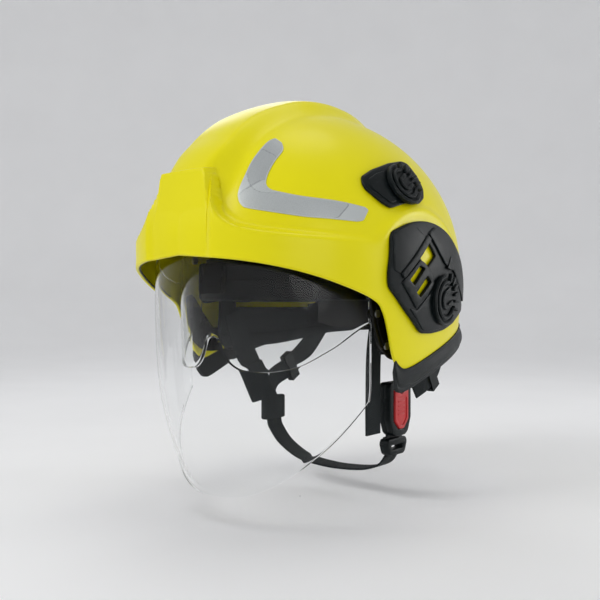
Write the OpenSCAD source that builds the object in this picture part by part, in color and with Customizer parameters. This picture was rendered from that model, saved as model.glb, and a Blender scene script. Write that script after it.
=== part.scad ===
// Firefighter helmet with a flip-up face shield, an inner eye visor, a side buckle and a ratchet headband.
// Millimetres. Front is -Y, the wearer's left is +X, up is +Z.
// The origin is the centre of the head opening at brow height.

/* [Outer shell] */
// Half width of the shell
shell_side = 120; // [118:1:122]
// From the shell's centre to its front wall, without the raised brow band
shell_front = 146; // [144:1:147]
// From the shell's centre to its rear wall
shell_rear = 151; // [147:1:153]
// From the shell's centre to its top, without the crest
shell_top = 135; // [133:1:137]
// Roundness of the shell: 2 is an ellipsoid, more is boxier
shell_power = 2.1; // [2.05:0.05:2.2]
// Wall thickness of the shell
shell_wall = 3.2; // [2.6:0.2:3.4]
// Height of the centre crest above the dome, at the top of the head
crest_rise = 9.5; // [7:0.5:10]
// Height of the raised ring round each side cover
collar_rise = 2.5; // [1.5:0.5:3]

/* [Edge trim and covers] */
// Height of the rubber trim under the rear rim
trim_height = 19; // [16:1:20]
// How far the rubber trim bulges beyond the shell
trim_bulge = 3.5; // [2.5:0.5:4]
// Thickness of the side covers
cover_thick = 4.2; // [3.5:0.1:4.5]
// Radius of the lower accessory socket's bore
lower_bore_r = 12.5; // [11:0.5:13]
// Radius of the upper accessory socket's bore
upper_bore_r = 10; // [9:0.5:10.5]

/* [Head and liner] */
// Half width of the largest head that fits
head_side = 77; // [75:1:77]
// Half length of the largest head that fits
head_long = 98; // [95:1:98]
// Height of the crown above the brow
head_up = 92; // [88:1:92]

/* [Visors] */
// Thickness of the face shield
shield_wall = 2.2; // [1.8:0.1:2.4]
// Height of the chin edge of the face shield
shield_low = -187; // [-189:1:-183]
// Thickness of the eye visor
ocular_wall = 1.8; // [1.6:0.1:2]
// Running clearance of the pivot pins
pin_gap = 0.05; // [0.02:0.01:0.08]

/* [Straps and buckle] */
// Width of the chin webbing
web_wide = 20; // [18:1:21]
// Thickness of the chin webbing
web_thick = 1.8; // [1.4:0.2:2]
// Radius of the ratchet knob
knob_r = 14; // [12:1:14]

/* [Hidden] */
$fn = 48;

centre = [0, 12, -17];          // centre of the shell's dome
rear_tilt = 0.04;               // how much the dome falls towards the rear
head_centre = [0, 21, 0];
shield_pivot = [40, -75];       // y and z of the face shield's hinge line
ocular_pivot = [20, -28];       // y and z of the eye visor's hinge line
arm_x = 100.8;                  // inner face of the face shield's arms
arm_thick = 2.4;
rail_x = 107.2;
ocular_arm_x = 90.4;            // inner face of the eye visor's arms
pin_r = 4;
ocular_pin_r = 3.5;
shield_edge = 80;               // the face shield runs this many degrees to each side
ocular_edge = 75;
knob_centre = [0, 126, -56];

// height of the shell's rim against the azimuth from the front
RIM = [[0, -7], [22, -12], [38, -20], [58, -36], [64, -43], [71, -84], [77, -92], [84, -89],
    [110, -72], [130, -61], [155, -53], [180, -50]];
// how far below the centre the skirt would close, against the azimuth
SKIRT = [[0, 300], [55, 195], [90, 195], [130, 260], [180, 400]];
// half width of the crest against y
CREST = [[-132, 24], [-110, 27], [-90, 27], [-60, 31], [-20, 37], [20, 38], [60, 32], [90, 22]];
// height of the crest against y, as a share of crest_rise
CREST_SHARE = [[-135, 1.6], [-120, 1.3], [-105, 1], [-60, 0.9], [-30, 1], [90, 1]];
// top of the raised brow band, and how far it stands out, against the azimuth
BAND_TOP = [[0, 50], [10, 50], [10.8, 42], [11.8, 32], [13.3, 23], [16, 16], [19.5, 11.5], [26, 8],
    [34, 6], [48, 4], [64, 2]];
BAND_RISE = [[0, 6], [10, 8], [13, 11], [22, 10.5], [36, 7], [52, 4], [64, 0]];
// azimuths of the shell's columns on one side, close together at the corner of the ear flap
HALF_TURN = concat([0, 6, 12, 15, 18, 21, 24, 28, 33, 38, 43, 48], [for (p = [53:3:80]) p],
    [for (p = [84:6:180]) p]);
FULL_TURN = concat(HALF_TURN, [for (i = [len(HALF_TURN) - 2:-1:1]) 360 - HALF_TURN[i]]);

// smooth step from 0 at a to 1 at b
function ramp(a, b, x) = let (t = min(1, max(0, (x - a) / (b - a)))) t * t * (3 - 2 * t);
function mix(a, b, t) = a + (b - a) * t;
// azimuth folded to 0 at the front and 180 at the rear
function fold(p) = let (m = ((p % 360) + 360) % 360) m > 180 ? 360 - m : m;
function heading(p, t) = [cos(t) * sin(p), -cos(t) * cos(p), sin(t)];
function unit(v) = v / norm(v);
function mirrored(v) = [-v.x, v.y, v.z];

// ---------- the shell's surface ----------
function dome_radius(p, t) = let (d = heading(p, t), n = shell_power,
    long = d.y < 0 ? shell_front : shell_rear,
    tall = d.z > 0 ? shell_top : lookup(fold(p), SKIRT))
    pow(pow(abs(d.x) / shell_side, n) + pow(abs(d.y) / long, n) + pow(abs(d.z) / tall, n), -1 / n);
function crest(v) = let (w = lookup(v.y, CREST), rise = crest_rise * lookup(v.y, CREST_SHARE))
    rise * (1 - ramp(w - 7, w + 9, abs(v.x))) * ramp(20, 50, v.z) * (1 - ramp(62, 92, v.y));
function band(p, v) = let (top = lookup(fold(p), BAND_TOP), upright = 1 + 0.011 * max(0, v.z + 7))
    lookup(fold(p), BAND_RISE) * upright * (1 - ramp(top - 3, top + 3, v.z));
function collar(v) = let (out = (norm([v.y - 8, v.z + 40]) - 68) / 5)
    collar_rise * exp(-out * out) * ramp(-5, 8, v.z) * ramp(85, 105, abs(v.x));
function shell_radius(p, t) = let (r = dome_radius(p, t), v = centre + r * heading(p, t),
    w = centre + (r + max(crest(v), band(p, v))) * heading(p, t))
    r + max(crest(w), band(p, w)) + collar(v);
function tilted(v) = [v.x, v.y, v.z - rear_tilt * v.y * min(1, max(0, (v.z + 20) / 150))];
function shell_point(p, t, out = 0) = tilted(centre + (shell_radius(p, t) + out) * heading(p, t));
// elevation at which the surface is at height z
function elevation(p, z, out = 0, t = 0, n = 5) = n == 0 ? t
    : elevation(p, z, out, asin(min(0.99, max(-0.99, (z - centre.z) / (shell_radius(p, t) + out)))), n - 1);
function rim(p) = lookup(fold(p), RIM);
function onto_shell(v, out) = let (d = v - centre)
    shell_point(atan2(d.x, -d.y), asin(d.z / norm(d)), out);
// a point on the left flank at a given y and z
function flank(y, z, out = 0) = let (n = shell_power, long = y < centre.y ? shell_front : shell_rear,
    tall = z > centre.z ? shell_top : 210,
    rest = 1 - pow(abs(y - centre.y) / long, n) - pow(abs(z - centre.z) / tall, n))
    [shell_side * pow(max(rest, 0.01), 1 / n) + out, y, z];
// a point on the head's ellipsoid, moved out
function head_point(p, t, out) = let (d = heading(p, t),
    r = 1 / norm([d.x / head_side, d.y / head_long, d.z / head_up])) head_centre + (r + out) * d;

// ---------- solids from grids of points ----------
function quad(a, b, c, d) = [[a, b, c], [a, c, d]];

// closed solid between two grids; rows go up and columns go to the right, seen from outside
module between(outer, inner, wrap = false) {
    m = len(outer);
    n = len(outer[0]);
    k = m * n;
    last = wrap ? n - 1 : n - 2;
    function at(i, j) = i * n + j % n;
    polyhedron(points = concat([for (row = outer) each row], [for (row = inner) each row]),
        faces = concat(
            [for (i = [0:m - 2], j = [0:last])
                each quad(at(i, j), at(i + 1, j), at(i + 1, j + 1), at(i, j + 1))],
            [for (i = [0:m - 2], j = [0:last])
                each quad(k + at(i, j), k + at(i, j + 1), k + at(i + 1, j + 1), k + at(i + 1, j))],
            [for (j = [0:last]) each quad(at(0, j), at(0, j + 1), k + at(0, j + 1), k + at(0, j))],
            [for (j = [0:last])
                each quad(at(m - 1, j + 1), at(m - 1, j), k + at(m - 1, j), k + at(m - 1, j + 1))],
            wrap ? [] : [for (i = [0:m - 2])
                each quad(at(i + 1, 0), at(i, 0), k + at(i, 0), k + at(i + 1, 0))],
            wrap ? [] : [for (i = [0:m - 2])
                each quad(at(i, n - 1), at(i + 1, n - 1), k + at(i + 1, n - 1), k + at(i, n - 1))]));
}

// closed dome between two wrapped grids, each ending in one point at the top
module dome_between(outer, inner, outer_top, inner_top) {
    m = len(outer);
    n = len(outer[0]);
    k = m * n;
    top = 2 * k;
    function at(i, j) = i * n + j % n;
    points = concat([for (row = outer) each row], [for (row = inner) each row], [outer_top, inner_top]);
    polyhedron(points = points,
        faces = concat(
            [for (i = [0:m - 2], j = [0:n - 1])
                each quad(at(i, j), at(i + 1, j), at(i + 1, j + 1), at(i, j + 1))],
            [for (i = [0:m - 2], j = [0:n - 1])
                each quad(k + at(i, j), k + at(i, j + 1), k + at(i + 1, j + 1), k + at(i + 1, j))],
            [for (j = [0:n - 1]) each quad(at(0, j), at(0, j + 1), k + at(0, j + 1), k + at(0, j))],
            [for (j = [0:n - 1]) [at(m - 1, j), top, at(m - 1, j + 1)]],
            [for (j = [0:n - 1]) [k + at(m - 1, j), k + at(m - 1, j + 1), top + 1]]));
}

// smooth curve through hand-placed points, with a few steps between them
function curve(pts, steps = 4) = [for (i = [0:len(pts) - 2], s = [0:steps - 1])
    let (t = s / steps, a = pts[max(i - 1, 0)], b = pts[i], c = pts[i + 1], d = pts[min(i + 2, len(pts) - 1)])
    0.5 * (2 * b + (c - a) * t + (2 * a - 5 * b + 4 * c - d) * t * t + (3 * b - a - 3 * c + d) * t * t * t),
    pts[len(pts) - 1]];

// flat band of webbing along a route; side is the direction of its width, or that direction at both ends
module webbing(route, side, wide = web_wide, thick = web_thick) {
    path = curve(route);
    last = len(path) - 1;
    function across(i) = is_list(side[0]) ? unit(mix(side[0], side[1], i / last)) : side;
    function out(i) = unit(cross(across(i), path[min(i + 1, last)] - path[max(i - 1, 0)]));
    function edge(i, s, u) = path[i] + across(i) * wide / 2 * s + out(i) * thick / 2 * u;
    between([for (i = [0:last]) [edge(i, -1, 1), edge(i, 1, 1)]],
        [for (i = [0:last]) [edge(i, -1, -1), edge(i, 1, -1)]]);
}

// cylinder along X from x0 to x1 at a given y and z
module x_rod(x0, x1, yz, r) {
    translate([x0, yz[0], yz[1]]) rotate([0, 90, 0]) cylinder(h = x1 - x0, r = r);
}

// the same solids on the left and the right
module both_sides() {
    children();
    mirror([1, 0, 0]) children();
}

// puts +Z of its children along a direction
module facing(at, dir) {
    d = unit(dir);
    translate(at) rotate([0, acos(d.z), atan2(d.y, d.x)]) children();
}

// ---------- shell and what is fixed on it ----------
module outer_shell() {
    rows = 20;
    function grid(out) = [for (i = [0:rows]) [for (p = FULL_TURN)
        let (t = elevation(p, rim(p), out)) shell_point(p, mix(t, 86, i / rows), out)]];
    color("gold")
        dome_between(grid(0), grid(-shell_wall), shell_point(0, 90), shell_point(0, 90, -shell_wall));
}

// raised badge plate on the brow: a flat face whose sides and ends fall steeply to the shell's brow band
module front_plate() {
    columns = [-1, -0.95, -0.7, -0.35, 0, 0.35, 0.7, 0.95, 1];
    heights = [-5.5, -3.5, 5, 15, 25, 35, 45, 49.5, 51];
    face_y = -139;        // plane of the badge face
    lean = 0.055;         // how far the face leans back for each millimetre up
    function back(p, z) = shell_point(p, elevation(p, z, 0), 0.6);
    function flat(z) = face_y + (z + 6) * lean;
    function face(p, z, inside) = let (v = back(p, z))
        [v.x, inside ? min(v.y - 1.2, flat(z)) : v.y - 0.8, v.z];
    function grid(front) = [for (i = [0:8]) [for (j = [0:8])
        let (inside = i > 0 && i < 8 && j > 0 && j < 8, z = heights[i],
            p = columns[j] * mix(10.9, 9.8, z / 50))
        front ? face(p, z, inside) : back(p, z)]];
    color("gold") between(grid(true), grid(false));
}

// soft black seal under the brow
module brow_seal() {
    function grid(out) = [for (i = [0:1]) [for (p = [-56:7:56])
        let (t = elevation(p, rim(p) - 0.2, out)) shell_point(p, t - 1.2 * (1 - i), out)]];
    color("dimgray") between(grid(-0.4), grid(-shell_wall - 0.6));
}

// rubber trim from one ear flap's front corner, round the rear, to the other
module edge_trim() {
    rows = 4;
    span = concat([for (p = HALF_TURN) if (p > 70) p], [for (i = [len(HALF_TURN) - 2:-1:1])
        if (HALF_TURN[i] > 70) 360 - HALF_TURN[i]]);
    function low(p) = rim(p) - mix(6, trim_height, ramp(70, 76, fold(p))) + 2 * ramp(80, 120, fold(p));
    function swell(p, u) = trim_bulge * (0.35 + 0.65 * ramp(80, 130, fold(p))) * sin(180 * min(1, u * 1.15));
    function grid(out, face) = [for (i = [0:rows]) [for (p = span)
        let (u = i / rows, z = mix(low(p), rim(p) - 0.4, u), t = elevation(p, z, out))
        shell_point(p, t, out + (face ? swell(p, u) : 0))]];
    color("dimgray") between(grid(0.6, true), grid(-1.6, false));
}

// reflective tape between two edges, each a route of azimuth and elevation
module tape(low_edge, high_edge) {
    low = curve(low_edge);
    high = curve(high_edge);
    function grid(out) = [for (i = [0:len(low) - 1]) [for (s = [0:0.125:1])
        onto_shell(mix(shell_point(high[i][0], high[i][1]), shell_point(low[i][0], low[i][1]), s), out)]];
    color("silver") between(grid(1.3), grid(0.9));
}
TAPE_LOW = [[24.3, 41.2], [21.9, 37.9], [19.1, 31], [17.9, 25.5], [17, 21.5], [17, 18.8], [18.4, 16.4],
    [21.5, 15.3], [35.5, 13.9], [45, 13.9], [56.2, 14]];
TAPE_HIGH = [[28.6, 38.4], [28.9, 35.2], [27, 31.2], [25.5, 27], [25, 24], [25.3, 22.5], [26.4, 21.4],
    [28.6, 20.8], [36.5, 19.9], [48.5, 19.7], [59.3, 18.9]];
module tape_left() { tape(TAPE_LOW, TAPE_HIGH); }
module tape_right() { mirror([1, 0, 0]) tape(TAPE_LOW, TAPE_HIGH); }
module tape_rear() { tape([for (p = [150:10:210]) [p, 3]], [for (p = [150:10:210]) [p, 13]]); }

// lower side cover: outline in y and z, bent to the flank
module side_cover() {
    function high(y) = y < -7 ? mix(9, 20.5, (y + 42) / 35) : -40 + 61 * sqrt(1 - pow((y - 8) / 76, 2));
    function low(y) = lookup(y, [[-42, -31], [4, -66], [25, -68], [50, -63], [82, -46]]);
    function grid(out) = [for (i = [0:4]) [for (y = [-42:7.75:82])
        flank(y, mix(low(y), high(y), i / 4), out)]];
    color("dimgray") between(grid(0.7 + cover_thick), grid(0.7));
}
module side_cover_left() { side_cover(); }
module side_cover_right() { mirror([1, 0, 0]) side_cover(); }

// upper side cover, above the collar
module upper_cover() {
    function high(y) = lookup(y, [[-55, 44], [-51, 50], [-38, 57], [-15, 64], [8, 69], [17, 56]]);
    function low(y) = lookup(y, [[-55, 39], [-33, 27], [-17, 32], [4, 33], [12, 38], [17, 46]]);
    function grid(out) = [for (i = [0:4]) [for (y = [-55:6:17]) flank(y, mix(low(y), high(y), i / 4), out)]];
    color("dimgray") between(grid(0.8 + cover_thick), grid(0.8));
}
module upper_cover_left() { upper_cover(); }
module upper_cover_right() { mirror([1, 0, 0]) upper_cover(); }

// snap socket: a ring with a blind bore, an open collar with a catch, and a fan of grip teeth
module snap_socket(bore_r, turn) {
    rim_r = bore_r + 3;
    difference() {
        cylinder(h = 4.2, r = rim_r);
        translate([0, 0, 1.6]) cylinder(h = 4, r = bore_r);
    }
    rotate([0, 0, turn]) difference() {
        cylinder(h = 3.4, r = rim_r + 4);
        translate([0, 0, -1]) cylinder(h = 6, r = rim_r - 0.5);
        translate([0, -30, 1.6]) cube([60, 60, 6]);
    }
    for (a = [-50:20:50]) rotate([0, 0, turn + a])
        translate([rim_r + 0.5, -1.2, 0]) cube([6.5, 2.4, 4.2]);
}
LOWER_SOCKET = flank(27, -39.5, 3.5);
LOWER_FACING = [1, 0.068, -0.05];
UPPER_SOCKET = flank(-12, 47, 3.6);
UPPER_FACING = [0.9, -0.1, 0.43];
module lower_socket() { color("dimgray") facing(LOWER_SOCKET, LOWER_FACING) snap_socket(lower_bore_r, 115); }
module upper_socket() { color("dimgray") facing(UPPER_SOCKET, UPPER_FACING) snap_socket(upper_bore_r, 125); }
module lower_socket_left() { lower_socket(); }
module lower_socket_right() { mirror([1, 0, 0]) lower_socket(); }
module upper_socket_left() { upper_socket(); }
module upper_socket_right() { mirror([1, 0, 0]) upper_socket(); }

// screws that hold the covers from inside the shell
module cover_screws() {
    color("silver") both_sides() for (yz = [[-20, -2], [58, -8], [-30, 44], [0, 56]])
        let (v = flank(yz[0], yz[1], -shell_wall)) x_rod(v.x - 3.4, v.x + 0.6, yz, 3.5);
}

// ---------- inside of the shell ----------
// foam liner: thin where the visors park, thick at the rear
module impact_liner() {
    rows = 8;
    columns = [for (p = [0:9:351]) p];
    function thick(p, t) = 7 + 11 * ramp(95, 140, fold(p)) * (1 - ramp(20, 60, t)) + 2 * ramp(60, 85, t);
    function foot(p) = asin(mix(6, -6, ramp(40, 120, fold(p))) / 100);
    function grid(face) = [for (i = [0:rows]) [for (p = columns)
        let (t = mix(foot(p), 84, i / rows)) head_point(p, t, 4.5 + (face ? thick(p, t) : 0))]];
    color("dimgray") dome_between(grid(true), grid(false), head_point(0, 90, 4.5 + thick(0, 90)),
        head_point(0, 90, 4.5));
}

// oval ring about the head between two heights; a span of azimuths or a whole turn
function oval(p, side, long, z) = [side * sin(p), head_centre.y - long * cos(p), z];
module oval_band(side, long, thick, low, high, from = 0, to = 360, step = 9, wrap = false) {
    span = [for (p = [from:step:to]) p];
    function grid(in) = [[for (p = span) oval(p, side - in, long - in, low)],
        [for (p = span) oval(p, side - in, long - in, high)]];
    between(grid(0), grid(thick), wrap);
}

// chassis ring that carries the liner, the headband, the eye visor and the straps
module harness_frame() { color("dimgray") oval_band(88, 108, 2.4, -40, -13, 0, 351, 9, true); }
module headband() { color("dimgray") oval_band(83.6, 104.6, 1.8, -30, -6, -126, 126, 9); }
module brow_pad() { color("dimgray") oval_band(81.5, 102.5, 3.2, -31, -5, -72, 72, 9); }
// rivets that join the headband to the chassis
module headband_rivets() {
    color("silver") for (p = [-96, -8, 8, 96]) facing(oval(p, 82.4, 103.4, -20), [sin(p), -cos(p), 0])
        cylinder(h = 4.4, r = 3.5);
}
// webbing cradle over the crown
module crown_strap(across, lift) {
    half = 10;
    thick = 1;
    function edge(a, s, out) = head_centre + [0, 0, (head_up + out) * sin(a)] + (across
        ? [(head_side + out) * cos(a), s * half, 0] : [s * half, -(head_long + out) * cos(a), 0]);
    function grid(out) = [for (a = [12:6:168]) [edge(a, -1, out), edge(a, 1, out)]];
    color("dimgray") between(grid(lift + thick), grid(lift));
}
module crown_strap_side() { crown_strap(true, 0.6); }
module crown_strap_long() { crown_strap(false, 2.0); }
module crown_pad() {
    columns = [for (p = [0:15:345]) p];
    function grid(out) = [for (t = [66, 74, 82]) [for (p = columns) head_point(p, t, out)]];
    color("dimgray") dome_between(grid(0.2), grid(-3), head_point(0, 90, 0.2), head_point(0, 90, -3));
}
// padded lining inside each ear flap
module side_lining() {
    span = [for (p = [74:9:146]) p];
    function low(p) = mix(-82, -68, ramp(105, 160, p));
    function grid(in) = [for (u = [0, 0.5, 1]) [for (p = span)
        oval(p, 94 - in - 1.5 * abs(2 * u - 1), 114 - in, mix(low(p), -45, u))]];
    color("gray") between(grid(0), grid(4));
}
module side_lining_left() { side_lining(); }
module side_lining_right() { mirror([1, 0, 0]) side_lining(); }

// ---------- face shield ----------
SHIELD_FACE = [[-190, -100], [-187, -102], [-170, -110], [-150, -117.5], [-125, -124], [-100, -128],
    [-70, -131], [-35, -132], [-7, -131.5], [5, -130.5]];
SHIELD_SIDE = [[-190, 73], [-187, 74], [-150, 89], [-100, 99.5], [-40, 100], [0, 98]];
function shield_point(q, z, in = 0) = let (y0 = -18, y1 = lookup(z, SHIELD_FACE))
    [(lookup(z, SHIELD_SIDE) - in) * sin(q), y0 + (y1 - y0 + in) * cos(q), z];
function shield_top(q) = -3 - 24 * sin(q) * sin(q);
function shield_bottom(q) = shield_low + 92 * pow(1 - cos(q), 1.3);
module face_shield() {
    rows = 12;
    span = [for (q = [-shield_edge:5:shield_edge]) q];
    function grid(in) = [for (i = [0:rows]) [for (q = span)
        shield_point(q, mix(shield_bottom(q), shield_top(q), i / rows), in)]];
    color("lightcyan", 0.4) between(grid(0), grid(shield_wall));
}
// rounded lip in front of the lower edge
module shield_lip() {
    span = [for (q = [-shield_edge + 4:4:shield_edge - 4]) q];
    function grid(in) = [for (u = [0, 0.5, 1]) [for (q = span)
        shield_point(q, shield_bottom(q) + 0.5 + 7 * u, in - (in < 0 ? 1.4 * sin(180 * u) : 0))]];
    color("lightcyan", 0.5) between(grid(-0.4), grid(-0.1));
}
// arm from the shield's side to its pivot, with the bore for the pivot pin
module shield_arm() {
    color("dimgray") difference() {
        union() {
            translate([arm_x, 0, 0]) rotate([90, 0, 90]) linear_extrude(arm_thick) union() {
                polygon([[-46, -36], [-34, -33], [-22, -46], [-6, -64], [34, -64.6], [34, -85.4], [-10, -86],
                    [-20, -84], [-34, -74], [-42, -58]]);
                translate(shield_pivot) circle(r = 11);
            }
            for (yz = [[-38, -50], [-26, -74]]) x_rod(97.4, arm_x + 0.5, yz, 4);
        }
        x_rod(arm_x - 2, arm_x + 5, shield_pivot, pin_r + pin_gap);
    }
}
module shield_arm_left() { shield_arm(); }
module shield_arm_right() { mirror([1, 0, 0]) shield_arm(); }
module shield_screws() {
    color("silver") both_sides() for (yz = [[-38, -50], [-26, -74]])
        x_rod(arm_x + arm_thick, arm_x + arm_thick + 1.2, yz, 3);
}
// guides on the shell's inner wall; the carriage runs up between their lips
module shield_rails() {
    color("dimgray") both_sides() {
        translate([rail_x, 27, -88]) cube([1.6, 26, 42]);
        for (y = [27, 51]) translate([103.9, y, -88]) cube([rail_x - 103.8, 2, 42]);
    }
}
module shield_carriages() {
    color("gray") both_sides() difference() {
        translate([103.8, 29.3, -87]) cube([3.1, 21.4, 24]);
        x_rod(103, 108, shield_pivot, pin_r);
    }
}
module shield_pins() {
    color("silver") both_sides() {
        x_rod(100, 106.9, shield_pivot, pin_r);
        x_rod(98.6, 100.4, shield_pivot, 6.5);
    }
}

// ---------- eye visor ----------
function ocular_point(q, z, in = 0) = let (y1 = -105 + 0.0009 * pow(z + 35, 2))
    [(94.5 - in) * sin(q), -5 + (y1 + 5 + in) * cos(q), z];
function ocular_bottom(q) = lookup(96 * abs(sin(q)),
    [[0, -67], [5, -69], [10, -78], [16, -87], [26, -92], [44, -93], [60, -90], [80, -76], [94, -56]]);
module ocular_visor() {
    rows = 8;
    half = [for (q = [0, 3, 6, 9.5, 15, 22, 29, 36, 43, 50, 57, 64, 70, ocular_edge]) q];
    span = concat([for (i = [len(half) - 1:-1:1]) -half[i]], half);
    function grid(in) = [for (i = [0:rows]) [for (q = span)
        ocular_point(q, mix(ocular_bottom(q), -4 - 6 * sin(q) * sin(q), i / rows), in)]];
    color("lightblue", 0.4) between(grid(0), grid(ocular_wall));
}
module ocular_arm() {
    color("dimgray") difference() {
        union() {
            translate([ocular_arm_x, 0, 0]) rotate([90, 0, 90]) linear_extrude(2.2) union() {
                polygon([[-33, -20], [-26, -17], [18, -20], [18, -36], [-26, -42], [-33, -38]]);
                translate(ocular_pivot) circle(r = 9);
            }
            for (z = [-22, -36]) x_rod(ocular_arm_x - 2, ocular_arm_x + 0.5, [-29.5, z], 3);
        }
        x_rod(ocular_arm_x - 1, ocular_arm_x + 4, ocular_pivot, ocular_pin_r + pin_gap);
    }
}
module ocular_arm_left() { ocular_arm(); }
module ocular_arm_right() { mirror([1, 0, 0]) ocular_arm(); }
// finger tab on the middle of the eye visor
module ocular_tab() {
    color("gray") difference() {
        translate([-14, -107, -35]) cube([28, 2.2, 23]);
        for (x = [-9:6:9]) translate([x - 0.8, -108, -33]) cube([1.6, 1.8, 19]);
    }
}
module ocular_brackets() {
    color("dimgray") both_sides() translate([88.1, 7, -40.5]) cube([2, 26, 27]);
}
module ocular_pins() {
    color("silver") both_sides() {
        x_rod(ocular_arm_x - 1, ocular_arm_x + 2.5, ocular_pivot, ocular_pin_r);
        x_rod(ocular_arm_x + 2.4, ocular_arm_x + 3.5, ocular_pivot, 5.5);
    }
}

// ---------- nape adjustment ----------
module nape_band() { color("dimgray") oval_band(80, 100, 2, -66, -36, 131, 229, 7); }
module nape_pad() { color("dimgray") oval_band(77.7, 97.7, 3.5, -65, -37, 138, 222, 7); }
// guides on the chassis that the nape housing runs in
module nape_guides() {
    color("dimgray") both_sides() translate([32, 114, -54]) difference() {
        cube([5, 16, 16]);
        translate([-1, -1, 4]) cube([4, 20, 6]);
    }
}
module ratchet_housing() {
    color("dimgray") difference() {
        union() {
            translate([-30, 121.6, -67]) cube([60, 9, 25.5]);
            for (s = [-1, 1]) translate([s * 32 - 2.4, 121.6, -49.6]) cube([4.8, 9, 5.2]);
        }
        translate(knob_centre + [0, -6, 0]) rotate([-90, 0, 0]) cylinder(h = 12, r = 5 + pin_gap);
    }
}
module ratchet_knob() {
    color("dimgray") translate([0, 130.9, knob_centre.z]) rotate([-90, 0, 0]) {
        difference() {
            cylinder(h = 10, r = knob_r);
            for (a = [0:20:340]) rotate([0, 0, a]) translate([knob_r + 0.6, 0, -1])
                cylinder(h = 12, r = 1.8, $fn = 16);
        }
        translate([0, 0, -8.5]) cylinder(h = 9, r = 5);
    }
}

// ---------- straps and buckle ----------
RIGHT_FRONT = [[-82, 2, -50], [-79, 11, -78], [-74, 23, -108], [-69.5, 33, -132]];
LEFT_FRONT = [[82, -4, -50], [78, -4, -80], [76.5, -3, -112], [76, -2, -146]];
REAR_ROUTE = [[66, 119, -60], [76, 108, -84], [80, 82, -104], [78, 56, -114]];
REAR_SIDE = [[0.3, -0.5, 0.8], [-0.12, -0.45, 0.88]];
RIGHT_SIDE = [[0, 1, 0.3], [0.5, 0.85, 0.25]];
SLEEVE_ROUTE = [[-76, 18.4, -98], [-74, 23, -108], [-71.7, 28.4, -121], [-69.6, 32.8, -131.5]];
module front_strap_left() { color("dimgray") webbing(LEFT_FRONT, [0, 1, 0]); }
module front_strap_right() { color("dimgray") webbing(RIGHT_FRONT, RIGHT_SIDE, 22); }
module rear_strap_left() { color("dimgray") webbing(REAR_ROUTE, REAR_SIDE); }
module rear_strap_right() {
    route = [for (v = concat(REAR_ROUTE, [[74, 48, -131]])) mirrored(v)];
    color("dimgray") webbing(route, [for (v = REAR_SIDE) mirrored(v)]);
}
// lugs that hold the strap ends on the chassis
module strap_anchors() {
    color("dimgray") both_sides() {
        translate([83.4, -12, -56]) cube([3.6, 20, 16]);
        facing([68.5, 124, -56], [0.65, 0.76, 0]) translate([-8, -11, -1]) cube([16, 22, 3]);
    }
}
// ladder sliders on the rear straps
module strap_sliders() {
    color("dimgray") both_sides() translate([79.4, 82, -104]) rotate([30, 0, 0]) difference() {
        cube([6.8, 12, 28], center = true);
        translate([0.6, 0, 0]) cube([4.4, 20, 23], center = true);
    }
}
// sleeve at the right where both straps meet the chin webbing
module strap_sheath() {
    color("dimgray") difference() {
        union() {
            translate([-67, 42, -140]) cube([7.6, 29, 22], center = true);
            webbing(SLEEVE_ROUTE, [[0.3, 0.91, 0.27], [0.5, 0.85, 0.25]], 25.5, 5.6);
        }
        translate([-65.6, 42, -140]) cube([2.6, 22, 30], center = true);
        webbing(RIGHT_FRONT, RIGHT_SIDE, 22.6, 2.2);
    }
}
BUCKLE = [78, 28, -128];         // centre of the buckle housing
module buckle_housing() {
    color("dimgray") translate(BUCKLE) difference() {
        translate([-5.5, -16, -22]) cube([11, 32, 44]);
        translate([-0.4, -10.4, -16.4]) cube([10, 20.8, 33]);
        translate([-4, -9.5, -30]) cube([2.6, 19, 30]);
    }
}
// red push button with a pointed lower end
module release_button() {
    color("crimson") translate(BUCKLE + [2.2, 0, 0]) rotate([90, 0, 90]) linear_extrude(4.4)
        polygon([[-10, 16], [0, 12], [10, 16], [10, -9], [3, -16], [-3, -16], [-10, -9]]);
}
module button_spring() {
    color("silver") translate(BUCKLE + [-0.35, 0, 0]) rotate([0, 90, 0]) difference() {
        cylinder(h = 0.4, r = 4);
        translate([0, 0, -1]) cylinder(h = 4, r = 3);
    }
}
// tongue that latches into the housing, with the loop that the adjuster hangs from
module buckle_tongue() {
    color("gray") translate(BUCKLE) difference() {
        union() {
            translate([-3.8, -9, -28]) cube([2.2, 18, 26]);
            translate([-3.8, -13, -29]) cube([2.2, 26, 6.5]);
        }
        translate([-6, -4, -12]) cube([8, 8, 5]);
    }
}
module strap_adjuster() {
    color("dimgray") translate([BUCKLE.x - 2, BUCKLE.y, -158]) difference() {
        translate([-4.5, -15, -8]) cube([9, 30, 14]);
        translate([-1.6, -11.5, -3]) cube([3.2, 23, 20]);
    }
}
CHIN_ROUTE = [[74, 28, -166.4], [66, 30, -175], [48, 34, -181.5], [24, 39, -185], [0, 42, -186],
    [-28, 43, -183], [-50, 42, -172], [-62, 42, -160], [-65.6, 42, -152], [-65.6, 42, -132]];
module chin_webbing() { color("dimgray") webbing(CHIN_ROUTE, [0, 1, 0]); }

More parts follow.
